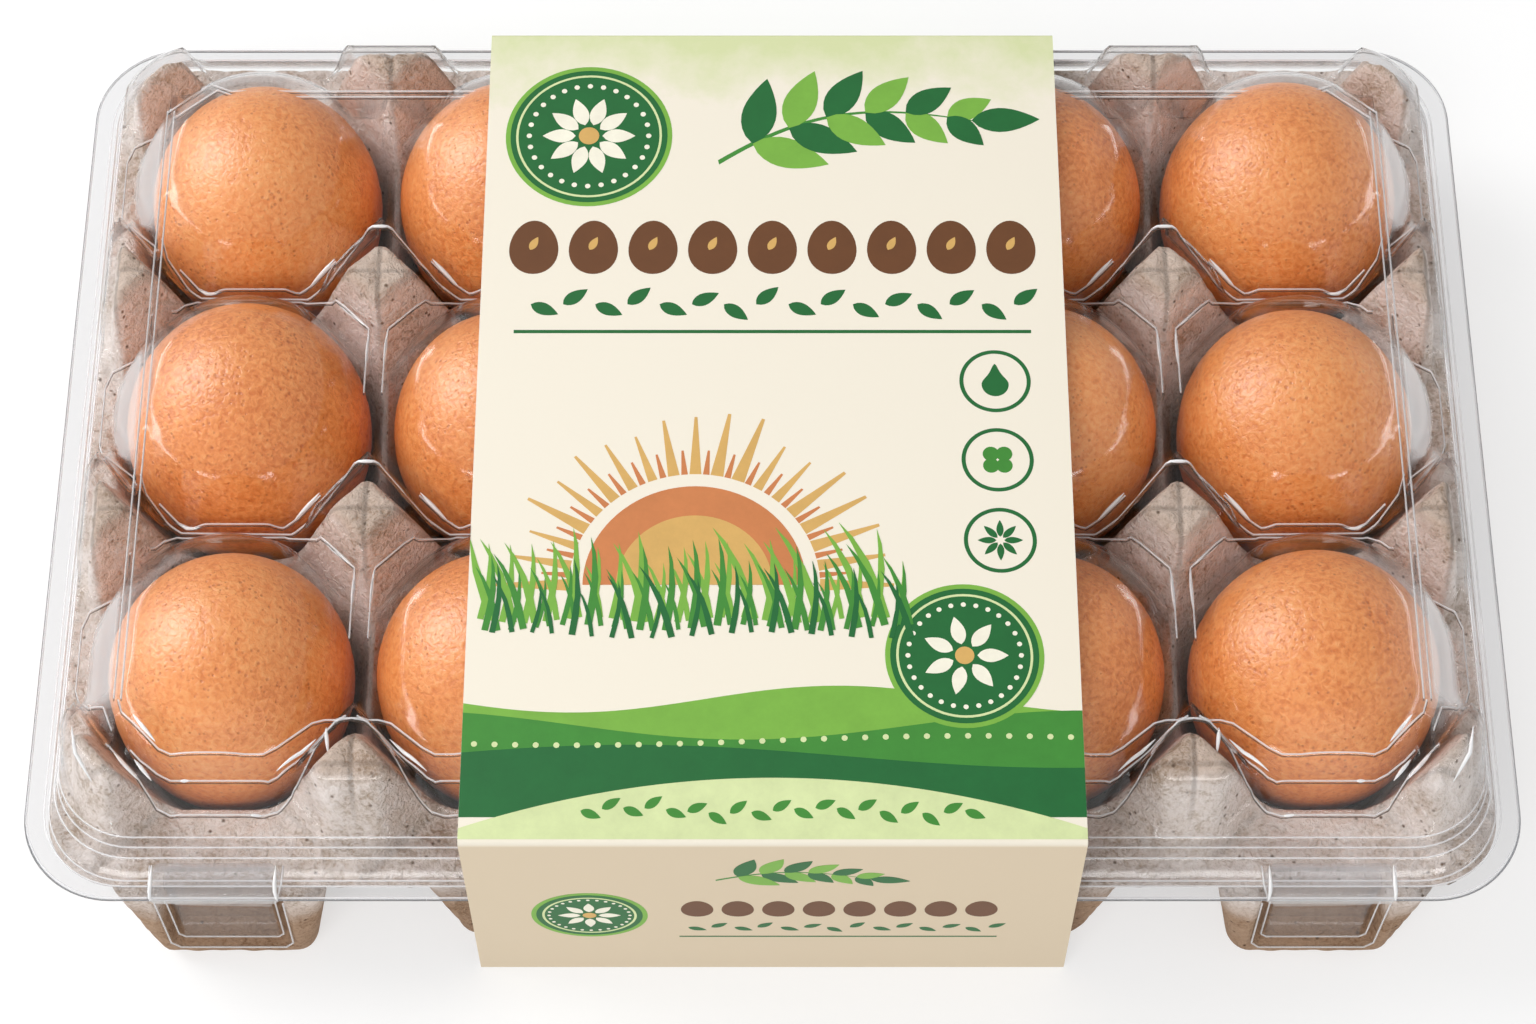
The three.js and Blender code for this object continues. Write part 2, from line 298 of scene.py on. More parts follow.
@dataclass(frozen=True)
class FilmFinish:
    """Thin clear film: it hardly bends light, its skin glints, and it is greyer where it is seen edge-on. A
    painted reflection, a milky white with a faint glow, lies on the end domes' outer walls and over the snap
    blocks.
    """

    face_on: Colour = (0.995, 0.996, 0.998)
    edge_on: Colour = (0.84, 0.845, 0.855)
    rim: Colour = (0.86, 0.86, 0.868)
    # A milky white that, with a faint glow, stands in for reflected light: painted reflection.
    painted_reflection_white: Colour = (0.93, 0.93, 0.94)
    rim_top: float = 36.4 * MM
    bend: float = 1.008
    skin_bend: float = 1.33
    # How much painted reflection covers the whole film, used for the snap blocks, and the most it reaches on
    # the end domes' outer walls.
    overall_painted_reflection: float = 0.0
    side_reflection_share: float = 0.34

    def make(self) -> Material:
        """Builds the material."""
        material, tree, place = new_material("film_with_painted_reflection" if self.overall_painted_reflection else "clear_formed_film")
        ripples = relief(tree, noise(tree, place, 110.0, 1.0), 0.12, 0.8 * MM)
        turned = put(tree, "ShaderNodeLayerWeight", {"Blend": 0.5}).outputs["Facing"]
        grey = ramp(tree, turned, ((0.6, self.face_on), (0.98, self.edge_on)))
        axes = put(tree, "ShaderNodeSeparateXYZ", {0: place})
        low = fade(tree, axes.outputs["Z"], self.rim_top, self.rim_top + 0.8 * MM, 1.0, 0.0)
        clear = put(tree, "ShaderNodeBsdfPrincipled", {
            "Base Color": blend(tree, low, grey, self.rim), "Roughness": 0.0, "IOR": self.bend,
            "Transmission Weight": 1.0, "Coat Weight": 1.0, "Coat Roughness": 0.07,
            "Coat IOR": self.skin_bend, "Coat Normal": ripples})
        through = put(tree, "ShaderNodeBsdfTransparent", {"Color": (*self.face_on, 1)})
        rays = put(tree, "ShaderNodeLightPath").outputs
        straight = maths(tree, "MAXIMUM", rays["Is Shadow Ray"], rays["Is Diffuse Ray"])
        mixed = put(tree, "ShaderNodeMixShader", {0: straight, 1: clear.outputs[0], 2: through.outputs[0]})
        # Painted reflection: a milky white film with a faint glow, mixed in on the end domes' walls and over
        # the snap blocks.
        painted_reflection = put(tree, "ShaderNodeBsdfPrincipled", {
            "Base Color": (*self.painted_reflection_white, 1), "Roughness": 0.2, "Emission Color": (1, 1, 1, 1),
            "Emission Strength": 0.15})
        share = maths(tree, "MAXIMUM", self.painted_side_reflection(tree, axes, turned), self.overall_painted_reflection)
        with_painted_reflection = put(tree, "ShaderNodeMixShader", {0: share, 1: mixed.outputs[0], 2: painted_reflection.outputs[0]})
        finish_with(tree, with_painted_reflection)
        return material

    def painted_side_reflection(self, tree: NodeTree, axes: Node, turned: NodeSocket) -> NodeSocket:
        """Finds the steep outer walls of the end domes, where a painted reflection makes the film milky at a
        slant.

        Args:
            tree: The shader tree.
            axes: The node that splits a place into its axes.
            turned: How far the film is turned away.

        Returns:
            The share of painted reflection.
        """
        across = maths(tree, "ABSOLUTE", axes.outputs["X"])
        inner = fade(tree, across, 118.2 * MM, 119.4 * MM, smooth=True)
        outer = fade(tree, across, 126.4 * MM, 124.6 * MM, smooth=True)
        row = maths(tree, "SUBTRACT", axes.outputs["Y"], MIDDLE_Y * MM)
        along = maths(tree, "MULTIPLY", row, 2 * math.pi / (PITCH_Y * MM))
        beside = fade(tree, maths(tree, "COSINE", along), -0.15, 0.35, smooth=True)
        low = fade(tree, axes.outputs["Z"], 36.6 * MM, 38.2 * MM, smooth=True)
        slant = maths(tree, "MULTIPLY", fade(tree, turned, 0.3, 0.62, smooth=True), self.side_reflection_share)
        panel = maths(tree, "MULTIPLY", maths(tree, "MULTIPLY", beside, low), slant)
        return maths(tree, "MULTIPLY", maths(tree, "MULTIPLY", inner, outer), panel)


@dataclass(frozen=True)
class EggshellFinish:
    """Brown eggshell: soft sheen, fine pores and darker specks. Each egg has its own tone, and painted shade
    darkens its lower part.
    """

    pale: Colour = srgb(246, 171, 106)
    middle: Colour = srgb(238, 149, 81)
    deep: Colour = srgb(211, 113, 48)
    speck: Colour = srgb(172, 86, 36)
    clouds: float = 60
    pores: float = 980
    specks: float = 800
    # Painted shade: the eggs' colour darkens towards their lower parts.
    painted_low_shade: Stops = ((0.0, (0.66, 0.5, 0.38)), (0.45, (0.84, 0.74, 0.66)), (1.0, (1, 1, 1)))
    shade_low: float = 16 * MM
    shade_high: float = 40 * MM

    def make(self) -> Material:
        """Builds the material."""
        material, tree, place = new_material("brown_eggshell")
        own = put(tree, "ShaderNodeAttribute", attribute_name="tone").outputs["Fac"]
        cloud = noise(tree, place, self.clouds, 5.0, 0.55)
        pore = noise(tree, place, self.pores, 4.0, distortion=0.5)
        tone = maths(tree, "MULTIPLY_ADD", pore, 0.7, maths(tree, "MULTIPLY_ADD", cloud, 0.3, own))
        colour = ramp(tree, tone, ((0.30, self.deep), (0.5, self.middle), (0.70, self.pale)))
        dots = put(tree, "ShaderNodeTexVoronoi", {"Vector": place, "Scale": self.specks}).outputs["Distance"]
        size = fade(tree, noise(tree, place, 150.0, 2.0), 0.42, 0.66, 0.05, 0.24)
        fleck = fade(tree, maths(tree, "SUBTRACT", size, dots), -0.09, 0.07, 0.0, 0.5)
        bumps = relief(tree, maths(tree, "MULTIPLY_ADD", fleck, -0.6, pore), 0.6, 0.5 * MM)
        axes = put(tree, "ShaderNodeSeparateXYZ", {0: place})
        # The colour is multiplied by the painted shade from the bottom up.
        level = fade(tree, axes.outputs["Z"], self.shade_low, self.shade_high)
        spotted = blend(tree, fleck, colour, self.speck)
        shader = put(tree, "ShaderNodeBsdfPrincipled", {
            "Base Color": blend(tree, 1.0, spotted, ramp(tree, level, self.painted_low_shade), "MULTIPLY"),
            "Roughness": 0.44, "Specular IOR Level": 0.5, "Normal": bumps})
        finish_with(tree, shader)
        return material


@dataclass(frozen=True)
class PaperFinish:
    """Cream printed board, with a pale green wash along the rear fold, and its front face painted a darker
    beige as painted shade.
    """

    cream: Colour = srgb(243, 235, 218)
    # Painted shade: the front face below the fold gets this darker beige.
    painted_front_shade: Colour = srgb(219, 201, 173)
    wash: Colour = srgb(214, 222, 168)
    wash_start: float = 60 * MM
    wash_end: float = 92 * MM
    wash_drift: float = 34 * MM
    fold_low: float = 58.5 * MM
    fold_high: float = 59.7 * MM

    def make(self) -> Material:
        """Builds the material."""
        material, tree, place = new_material("printed_board")
        axes = put(tree, "ShaderNodeSeparateXYZ", {0: place})
        cloud = noise(tree, place, 60.0, 6.0, 0.65)
        uneven = maths(tree, "MULTIPLY_ADD", cloud, self.wash_drift, axes.outputs["Y"])
        share = fade(tree, uneven, self.wash_start + self.wash_drift / 2, self.wash_end)
        faded = put(tree, "ShaderNodeMath", {0: share, 1: 0.95}, operation="MULTIPLY", use_clamp=True)
        # Painted shade: below the front fold the board is the darker beige, above it cream.
        upper = fade(tree, axes.outputs["Z"], self.fold_low, self.fold_high)
        ground = blend(tree, upper, self.painted_front_shade, self.cream)
        grain = relief(tree, noise(tree, place, 1400.0, 3.0), 0.12, 0.1 * MM)
        shader = put(tree, "ShaderNodeBsdfPrincipled", {
            "Base Color": blend(tree, faded.outputs[0], ground, self.wash), "Roughness": 0.55,
            "Specular IOR Level": 0.35, "Normal": grain})
        finish_with(tree, shader)
        return material


@dataclass(frozen=True)
class PlainFinish:
    """One even colour, for cut board, the floor and each ink."""

    name: str
    colour: Colour
    roughness: float = 0.6
    mottle: float = 0.0
    cover: float = 1.0

    def make(self) -> Material:
        """Builds the material."""
        material, tree, place = new_material(self.name)
        shader = put(tree, "ShaderNodeBsdfPrincipled", {
            "Base Color": (*self.colour, 1), "Roughness": self.roughness, "Specular IOR Level": 0.35,
            "Alpha": self.cover})
        if self.mottle:
            cloud = noise(tree, place, 170.0, 6.0, 0.7)
            low = tuple(channel * (1 - self.mottle) for channel in self.colour)
            high = tuple(min(channel * (1 + self.mottle), 0.97) for channel in self.colour)
            tree.links.new(ramp(tree, cloud, ((0.3, low), (0.7, high))), shader.inputs["Base Color"])
        finish_with(tree, shader)
        return material


class Ink(Enum):
    """The sleeve's inks, as screen colours."""

    DARK_GREEN = (24, 104, 48)
    MID_GREEN = (62, 138, 50)
    LIGHT_GREEN = (122, 178, 66)
    PALE_GREEN = (214, 226, 168)
    BROWN = (106, 64, 32)
    STRAW = (216, 172, 98)
    RUSSET = (206, 128, 76)
    CREAM = (247, 241, 222)

    def finish(self) -> PlainFinish:
        """Gives the ink as a finish."""
        return PlainFinish(f"ink_{self.name.lower()}", srgb(*self.value), 0.5, 0.07)


class Panel(Enum):
    """The sleeve's two printed faces."""

    TOP = "top"
    FRONT = "front"


def to_object(name: str, mesh: Mesh) -> Object:
    """Puts a mesh in the scene as an object at the origin."""
    piece = bpy.data.objects.new(name, mesh)
    bpy.context.scene.collection.objects.link(piece)
    return piece


def settle(piece: Object) -> Object:
    """Turns a piece with modifiers into a plain mesh.

    Args:
        piece: The object whose modifiers are used up.

    Returns:
        The same object, with its final mesh.
    """
    bpy.context.view_layer.update()
    solved = bpy.data.meshes.new_from_object(piece.evaluated_get(bpy.context.evaluated_depsgraph_get()))
    piece.modifiers.clear()
    piece.data = solved
    return piece


def dress(piece: Object, slot: str, *nodes: str) -> Object:
    """Hangs a finished piece on the root body and hides the part's solids that it stands for.

    Args:
        piece: The object.
        slot: The record's material slot; it is not used.
        nodes: The part's solids that it stands for.

    Returns:
        The same object.
    """
    if nodes:
        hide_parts(*nodes)
    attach(piece, "root")
    LOG.info("%s: %d faces", piece.name, len(piece.data.polygons))
    return piece


def soft_min(a: Places, b: Places, width: float) -> Places:
    """Takes the lower of two heights, with the edge between them rounded over a width."""
    share = np.clip(0.5 + 0.5 * (b - a) / width, 0, 1)
    return b + (a - b) * share - width * share * (1 - share)


def soft_max(a: Places, b: Places, width: float) -> Places:
    """Takes the higher of two heights, with the edge between them rounded over a width."""
    return -soft_min(-a, -b, width)


def eased(line: Profile, blur: float) -> tuple[Places, Places]:
    """Rounds the corners of a profile.

    Args:
        line: Points of distance and height.
        blur: How far each corner is spread.

    Returns:
        Close points of distance and height.
    """
    step = 0.05
    places = np.arange(line[0][0] - blur * 2, line[-1][0] + blur * 2, step)
    heights = np.interp(places, [p[0] for p in line], [p[1] for p in line])
    reach = max(int(blur / step), 1)
    weights = np.hanning(2 * reach + 3)[1:-1]
    padded = np.pad(heights, reach, mode="edge")
    return places, np.convolve(padded, weights / weights.sum(), mode="valid")


@dataclass
class EggGrid:
    """The grid that the eggs, the pockets and the domes share."""

    columns: int = 5
    rows: int = 3
    pitch_x: float = PITCH_X
    pitch_y: float = PITCH_Y
    middle_y: float = MIDDLE_Y

    @property
    def half_x(self) -> float:
        """Half the grid's length."""
        return self.columns * self.pitch_x / 2

    @property
    def front(self) -> float:
        """The grid's front edge."""
        return self.middle_y - self.rows * self.pitch_y / 2

    @property
    def rear(self) -> float:
        """The grid's rear edge."""
        return self.middle_y + self.rows * self.pitch_y / 2

    def column_x(self, column: float) -> float:
        """The middle of a column."""
        return (column - (self.columns - 1) / 2) * self.pitch_x

    def row_y(self, row: float) -> float:
        """The middle of a row."""
        return self.middle_y + (row - (self.rows - 1) / 2) * self.pitch_y

    def nearest_cell(self, x: Places, y: Places, spare: int = 0) -> tuple[Places, ...]:
        """Finds the egg nearest to each point.

        Args:
            x: Places along the pack.
            y: Places across the pack.
            spare: How many rows and columns past the grid count too.

        Returns:
            The column and row, and the distances from that egg's middle.
        """
        column = np.clip(np.floor((x + self.half_x) / self.pitch_x), -spare, self.columns - 1 + spare)
        row = np.clip(np.floor((y - self.front) / self.pitch_y), -spare, self.rows - 1 + spare)
        return column, row, x - self.column_x(column), y - self.row_y(row)

    def nearest_post(self, x: Places, y: Places) -> tuple[Places, Places]:
        """Finds the corner between eggs that is nearest to each point.

        Args:
            x: Places along the pack.
            y: Places across the pack.

        Returns:
            The distances from that corner.
        """
        i = np.clip(np.round((x + self.half_x) / self.pitch_x), 0, self.columns)
        j = np.clip(np.round((y - self.front) / self.pitch_y), 0, self.rows)
        return x - (i * self.pitch_x - self.half_x), y - (self.front + j * self.pitch_y)


@dataclass(frozen=True)
class Reach:
    """A round-cornered rectangle, by how far it reaches past the egg grid."""

    side: float
    front: float
    rear: float
    corner: float

    def signed(self, grid: EggGrid, x: Places, y: Places) -> Places:
        """Measures how far points are from the outline.

        Args:
            grid: The egg grid.
            x: Places along the pack.
            y: Places across the pack.

        Returns:
            The distances, negative inside.
        """
        half_x = grid.half_x + self.side
        low, high = grid.front - self.front, grid.rear + self.rear
        across = np.abs(x) - (half_x - self.corner)
        along = np.abs(y - (low + high) / 2) - ((high - low) / 2 - self.corner)
        outside = np.hypot(np.maximum(across, 0), np.maximum(along, 0))
        return outside + np.minimum(np.maximum(across, along), 0) - self.corner

    def outline(self, grid: EggGrid, steps: int = 13) -> Profile:
        """Gives the points round the outline, with so many on each corner."""
        half_x = grid.half_x + self.side - self.corner
        low, high = grid.front - self.front + self.corner, grid.rear + self.rear - self.corner
        points = []
        for k, (x, y) in enumerate(((half_x, high), (-half_x, high), (-half_x, low), (half_x, low))):
            for turn in np.linspace(k * math.pi / 2, (k + 1) * math.pi / 2, steps):
                points.append((x + self.corner * math.cos(turn), y + self.corner * math.sin(turn)))
        return points

    def snap(self, grid: EggGrid, x: Places, y: Places) -> tuple[Places, Places]:
        """Moves points to the nearest place on the outline.

        Args:
            grid: The egg grid.
            x: Places along the pack.
            y: Places across the pack.

        Returns:
            The new places.
        """
        step = 0.01
        away = self.signed(grid, x, y)
        slope_x = (self.signed(grid, x + step, y) - self.signed(grid, x - step, y)) / (2 * step)
        slope_y = (self.signed(grid, x, y + step) - self.signed(grid, x, y - step)) / (2 * step)
        return x - away * slope_x, y - away * slope_y

    def matching(self, grid: EggGrid, other: "Reach", x: Places, y: Places) -> tuple[Places, Places]:
        """Moves points from this outline to the same share of another one's sides and corners.

        Args:
            grid: The egg grid.
            other: The outline that they move to.
            x: Places along the pack.
            y: Places across the pack.

        Returns:
            The new places.
        """
        def span(reach: "Reach") -> tuple[float, float, float, float]:
            """Gives the ends of the straight sides."""
            return (grid.half_x + reach.side - reach.corner, grid.front - reach.front + reach.corner,
                    grid.rear + reach.rear - reach.corner, reach.corner)
        ax, alow, ahigh, acorner = span(self)
        bx, blow, bhigh, bcorner = span(other)
        inner_x = np.clip(x, -ax, ax)
        inner_y = np.clip(y, alow, ahigh)
        out_x, out_y = (x - inner_x) / acorner, (y - inner_y) / acorner
        share_y = (inner_y - alow) / (ahigh - alow)
        return inner_x / ax * bx + out_x * bcorner, blow + share_y * (bhigh - blow) + out_y * bcorner


def frame_height(grid: EggGrid, x: Places, y: Places, stations: Stations, corner: float,
                 steep: float = 8.0) -> Places:
    """Gives the height of a wall that leans in as it rises.

    Args:
        grid: The egg grid that the stations' reaches start from.
        x: Places along the pack.
        y: Places across the pack.
        stations: Height, side, front and rear reach, from the lowest up.
        corner: The outline's corner radius.
        steep: How fast the wall goes on past its first and last station.

    Returns:
        The wall's height at each point.
    """
    away = [Reach(*station[1:], corner).signed(grid, x, y) for station in stations]
    height = stations[-1][0] - away[-1] * steep
    for low in range(len(stations) - 2, -1, -1):
        gap = np.maximum(away[low + 1] - away[low], 1e-6)
        share = np.clip(-away[low] / gap, None, 1)
        rise = stations[low + 1][0] - stations[low][0]
        part = stations[low][0] + np.where(share > 0, share * rise, -away[low] * steep)
        height = np.where(away[low + 1] > 0, part, height)
    return height


@dataclass
class FormedSheet:
    """A sheet formed over the egg grid: close squares in the middle and rings that follow the edge."""

    grid: EggGrid
    edge: Reach
    cells: int = 52
    hidden_half: float = 51.0
    spare: float = 1
    snap_within: float = 0.28
    weld: float = 0.02 * MM
    crumb: float = 0.01 * MM

    def lines(self) -> tuple[Places, Places]:
        """Gives the places of the squares' lines along and across, further apart under the sleeve."""
        fine_x = self.grid.pitch_x / self.cells
        count = int(math.ceil((self.grid.half_x + self.edge.side + self.spare) / fine_x))
        order = np.arange(-count, count + 1)
        x = order * fine_x
        keep = (np.abs(x) > self.hidden_half) | (order % 2 == 0)
        fine_y = self.grid.pitch_y / self.cells
        ahead = int(math.ceil((self.edge.front + self.spare) / fine_y))
        behind = int(math.ceil((self.edge.rear + self.spare) / fine_y))
        y = self.grid.front + np.arange(-ahead, self.grid.rows * self.cells + behind + 1) * fine_y
        return x[keep], y

    def build(self, name: str, height: Heights, bands: list[tuple[Reach, float]]) -> Mesh:
        """Makes the sheet's mesh.

        Args:
            name: The mesh's name.
            height: A function of places x and y that gives heights.
            bands: The outlines past the edge, each with its highest height, or none.

        Returns:
            The mesh, in metres, with its faces upwards.
        """
        xs, ys = self.lines()
        x, y = (a.ravel() for a in np.meshgrid(xs, ys))
        width = len(xs)
        i, j = (a.ravel() for a in np.meshgrid(np.arange(width - 1), np.arange(len(ys) - 1)))
        a = j * width + i
        corners = np.stack([a, a + 1, a + 1 + width, a + width], 1)
        _, _, dx, dy = self.grid.nearest_cell(x[corners].mean(1), y[corners].mean(1))
        falling = (dx * dy > 0)[:, None]
        first = np.where(falling, corners[:, [0, 1, 3]], corners[:, [0, 1, 2]])
        second = np.where(falling, corners[:, [1, 2, 3]], corners[:, [0, 2, 3]])
        x, y, faces = self.trimmed(x, y, np.concatenate([first, second]))
        z = height(x, y)
        if bands:
            x, y, z, faces = self.add_bands(x, y, z, faces, height, bands)
        mesh = bpy.data.meshes.new(name)
        mesh.from_pydata((np.stack([x, y, z], 1) * MM).tolist(), [], faces.tolist())
        work = bmesh.new()
        work.from_mesh(mesh)
        bmesh.ops.remove_doubles(work, verts=work.verts, dist=self.weld)
        bmesh.ops.dissolve_degenerate(work, edges=work.edges, dist=self.crumb)
        for face in work.faces:
            face.smooth = True
        work.to_mesh(mesh)
        work.free()
        return mesh

    def trimmed(self, x: Places, y: Places, faces: Places) -> tuple[Places, ...]:
        """Cuts the triangles along the edge.

        Args:
            x: The squares' places along the pack.
            y: The squares' places across the pack.
            faces: Their triangles.

        Returns:
            The places and triangles that are left, with new points on the edge.
        """
        away = self.edge.signed(self.grid, x, y)
        near = np.abs(away) < self.snap_within
        x[near], y[near] = self.edge.snap(self.grid, x[near], y[near])
        away[near] = 0
        highest, lowest = away[faces].max(1), away[faces].min(1)
        kept = faces[(highest <= 0) & (lowest < 0)]
        extra_x, extra_y, made, cuts = [], [], [], {}
        for face in faces[(highest > 0) & (lowest < 0)]:
            ring = []
            for p, q in zip(face, np.roll(face, -1)):
                if away[p] <= 0:
                    ring.append(int(p))
                if away[p] * away[q] < 0:
                    key = (min(p, q), max(p, q))
                    if key not in cuts:
                        share = away[p] / (away[p] - away[q])
                        cuts[key] = len(x) + len(extra_x)
                        extra_x.append(x[p] + (x[q] - x[p]) * share)
                        extra_y.append(y[p] + (y[q] - y[p]) * share)
                    ring.append(cuts[key])
            made.extend((ring[0], ring[k], ring[k + 1]) for k in range(1, len(ring) - 1))
        x, y = np.append(x, extra_x), np.append(y, extra_y)
        cut = np.array(made, dtype=int).reshape(-1, 3)
        used, faces = np.unique(np.concatenate([kept, cut]), return_inverse=True)
        return x[used], y[used], faces.reshape(-1, 3)

    def add_bands(self, x: Places, y: Places, z: Places, faces: Places, height: Heights,
                  bands: list[tuple[Reach, float]]) -> tuple[Places, ...]:
        """Goes on past the squares' edge with rings of faces.

        Args:
            x: The squares' places along the pack.
            y: The squares' places across the pack.
            z: Their heights.
            faces: Their triangles.
            height: A function of places x and y that gives heights.
            bands: The outlines past the edge, each with its highest height.

        Returns:
            The places, heights and triangles with the rings added.
        """
        edges = np.concatenate([faces[:, [0, 1]], faces[:, [1, 2]], faces[:, [2, 0]]])
        keys = {(int(p), int(q)) for p, q in edges}
        rim = [(p, q) for p, q in keys if (q, p) not in keys]
        last = np.arange(len(x))
        rings, triangles, offset = [(x, y, z)], [faces], len(x)
        edge_points = np.array(sorted({p for pair in rim for p in pair}))
        order = {int(p): k for k, p in enumerate(edge_points)}
        base_x, base_y = x[edge_points], y[edge_points]
        for reach, top in bands:
            ring_x, ring_y = self.edge.matching(self.grid, reach, base_x, base_y)
            ring_z = np.minimum(height(ring_x, ring_y), top)
            rings.append((ring_x, ring_y, ring_z))
            fresh = np.array([offset + k for k in range(len(edge_points))])
            joins = []
            for p, q in rim:
                new_p, new_q = fresh[order[p]], fresh[order[q]]
                joins.append((last[p], new_p, last[q]))
                joins.append((last[q], new_p, new_q))
            triangles.append(np.array(joins))
            last = last.copy()
            last[edge_points] = fresh
            offset += len(edge_points)
        return (*(np.concatenate([ring[k] for ring in rings]) for k in range(3)), np.concatenate(triangles))


@dataclass
class PulpTray:
    """The moulded tray: pockets, posts with grooved tops, a rim, and lugs and bulges along the front."""

    grid: EggGrid
    finish: Material
    pulp: float = 1.6
    rim: float = 29.5
    rim_band: float = 3
    post_top: float = 50.2
    pocket: Profile = field(default_factory=lambda: [
        (0, 2.3), (8.5, 2.3), (14.5, 5.6), (20.6, 15), (24.6, 25.5), (29.8, 45.6), (31.4, 50.4), (40, 66)])
    sides: Stations = field(default_factory=lambda: [
        (29.5, 7, 15, 9.4), (31.5, 2.9, 9.4, 4.6), (45, 1.3, 3.8, 2.2), (50.2, -0.4, 0.9, -1.2)])
    corner: float = 14
    pocket_ease: float = 1.6
    facet_ease: float = 3.0
    ridge_ease: float = 2.6
    top_ease: float = 1.8
    groove: float = 0.9
    groove_from: float = 36
    crumple: float = 0.4
    wave: float = 0.28
    dent: float = 0.35
    dent_at: float = 45
    latch_x: float = 100
    bulge_x: tuple[float, ...] = (-50, 0, 50)
    bulge_foot: float = 3.4
    bulge_corner: float = 4.2
    recess_half: float = 10.9
    recess_low: float = 6.6
    recess_depth: float = 5.4

    def height(self, x: Places, y: Places) -> Places:
        """Gives the tray's upper face.

        Args:
            x: Places along the pack.
            y: Places across the pack.

        Returns:
            The heights.
        """
        places, heights = eased(self.pocket, self.pocket_ease)
        low = np.full_like(x, ABOVE_ALL)
        column, row, dx, dy = self.grid.nearest_cell(x, y, spare=1)
        for step_x in (0, 1):
            for step_y in (0, 1):
                px = dx - np.where(dx > 0, 1, -1) * self.grid.pitch_x * step_x
                py = dy - np.where(dy > 0, 1, -1) * self.grid.pitch_y * step_y
                c = column + np.where(dx > 0, 1, -1) * step_x
                r = row + np.where(dy > 0, 1, -1) * step_y
                real = (c >= 0) & (c < self.grid.columns) & (r >= 0) & (r < self.grid.rows)
                diagonal = (np.abs(px) + np.abs(py)) / math.sqrt(2)
                straight = soft_max(np.abs(px), np.abs(py), self.facet_ease)
                wall = np.interp(soft_max(straight, diagonal, self.facet_ease), places, heights)
                wall = np.where(real, wall, np.maximum(wall, self.rim))
                low = soft_min(low, wall, self.ridge_ease)
        low = soft_min(low, np.full_like(x, self.post_top), self.top_ease)
        outer = frame_height(self.grid, x, y, self.sides, self.corner)
        low = self.wear_and_height_shade(x, y, soft_min(low, outer, self.ridge_ease))
        flat = np.where(outer < self.rim + self.rim_band, np.minimum(low, self.rim), 0)
        return np.maximum(low, flat)

    def wear_and_height_shade(self, x: Places, y: Places, z: Places) -> Places:
        """Presses the grooves into the posts and adds the pulp's unevenness.

        Args:
            x: Places along the pack.
            y: Places across the pack.
            z: The even heights.

        Returns:
            The uneven heights.
        """
        dx, dy = self.grid.nearest_post(x, y)
        top = np.clip((z - self.groove_from) / 9, 0, 1)
        lines = np.exp(-((dx / 0.75) ** 2)) + 0.7 * np.exp(-((dy / 0.7) ** 2)) * (np.abs(dx) < 9)
        rim = np.clip((np.abs(x) - 118) / 4, 0, 1) + np.clip((y - 72) / 4, 0, 1)
        folds = np.clip(rim, 0, 1) * (np.sin(y * 0.83 + np.sin(x * 0.9 + y * 0.21) * 1.8)
                                      * np.sin(x * 0.71 - y * 0.37) + 0.5 * np.sin(y * 2.1 + x * 0.8))
        waves = (np.sin(x * 0.61 + np.sin(y * 0.37) * 2.1) * np.sin(y * 0.53 + np.sin(x * 0.29) * 1.7)
                 + 0.5 * np.sin(x * 1.43 + y * 0.71) * np.sin(y * 1.31 - x * 0.47))
        uneven = (self.wave * waves + self.crumple * folds) * np.clip((z - 3) / 6, 0, 1)
        dents = self.dent * np.exp(-(((z - self.dent_at) / 0.7) ** 2)) * (np.hypot(dx, dy) < 16)
        return z - self.groove * lines * top + uneven - dents

    def build(self) -> Object:
        """Makes the tray as one piece."""
        _, side, front, rear = self.sides[0]
        sheet = FormedSheet(self.grid, Reach(side - 1.5, front - 1.5, rear - 1.5, self.corner - 1.5))
        bands = [(Reach(side - gap, front - gap, rear - gap, self.corner - gap), top)
                 for gap, top in ((0.9, 29.7), (0.45, 29.4), (0.15, 29.0), (0.0, 28.4))]
        piece = to_object("pulp_tray", sheet.build("pulp_tray", self.height, bands))
        piece.data.materials.append(self.finish)
        wall = piece.modifiers.new("wall", "SOLIDIFY")
        wall.thickness = self.pulp * MM
        wall.offset = -1
        settle(piece)
        return dress(piece, "pulp", "tray")

    def bulge(self, name: str, x: float, top_half: float, base_half: float, front: float,
              recess: bool = False) -> Object:
        """Makes one tapered bulge of the front, with a rectangular recess where a plug goes in.

        Args:
            name: The piece's name.
            x: Its middle.
            top_half: Half its width at the top.
            base_half: Half its width at the foot.
            front: Its front face.
            recess: Whether it has the recess.

        Returns:
            The piece.
        """
        rear, base, top, foot, corner = -76.0, 0.6, 28.2, self.bulge_foot, self.bulge_corner
        foot_steps, wall_steps, face_steps = 7, 30, 60
        rings = []
        for step in range(foot_steps + wall_steps + 1):
            turn = math.pi / 2 * min(step, foot_steps) / foot_steps
            inset = foot * (1 - math.sin(turn))
            rise = max(step - foot_steps, 0) / wall_steps * (top - base - foot)
            z = base + foot * (1 - math.cos(turn)) + rise
            half = base_half + (top_half - base_half) * (z - base) / (top - base) - inset
            turns = np.linspace(0, math.pi / 2, 9)
            arc_x = half - corner + corner * np.cos(turns)
            arc_y = front + inset + corner - corner * np.sin(turns)
            face_x = np.linspace(half - corner, corner - half, face_steps + 2)[1:-1]
            dx = np.concatenate([[half], arc_x, face_x, -arc_x[::-1], [-half]])
            y = np.concatenate([[rear], arc_y, np.full(face_steps, front + inset), arc_y[::-1], [rear]])
            if recess:
                edge = soft_max(np.abs(dx) - self.recess_half, self.recess_low - z, 2.0)
                y = np.where(y < rear - 4, y + self.pressed(edge), y)
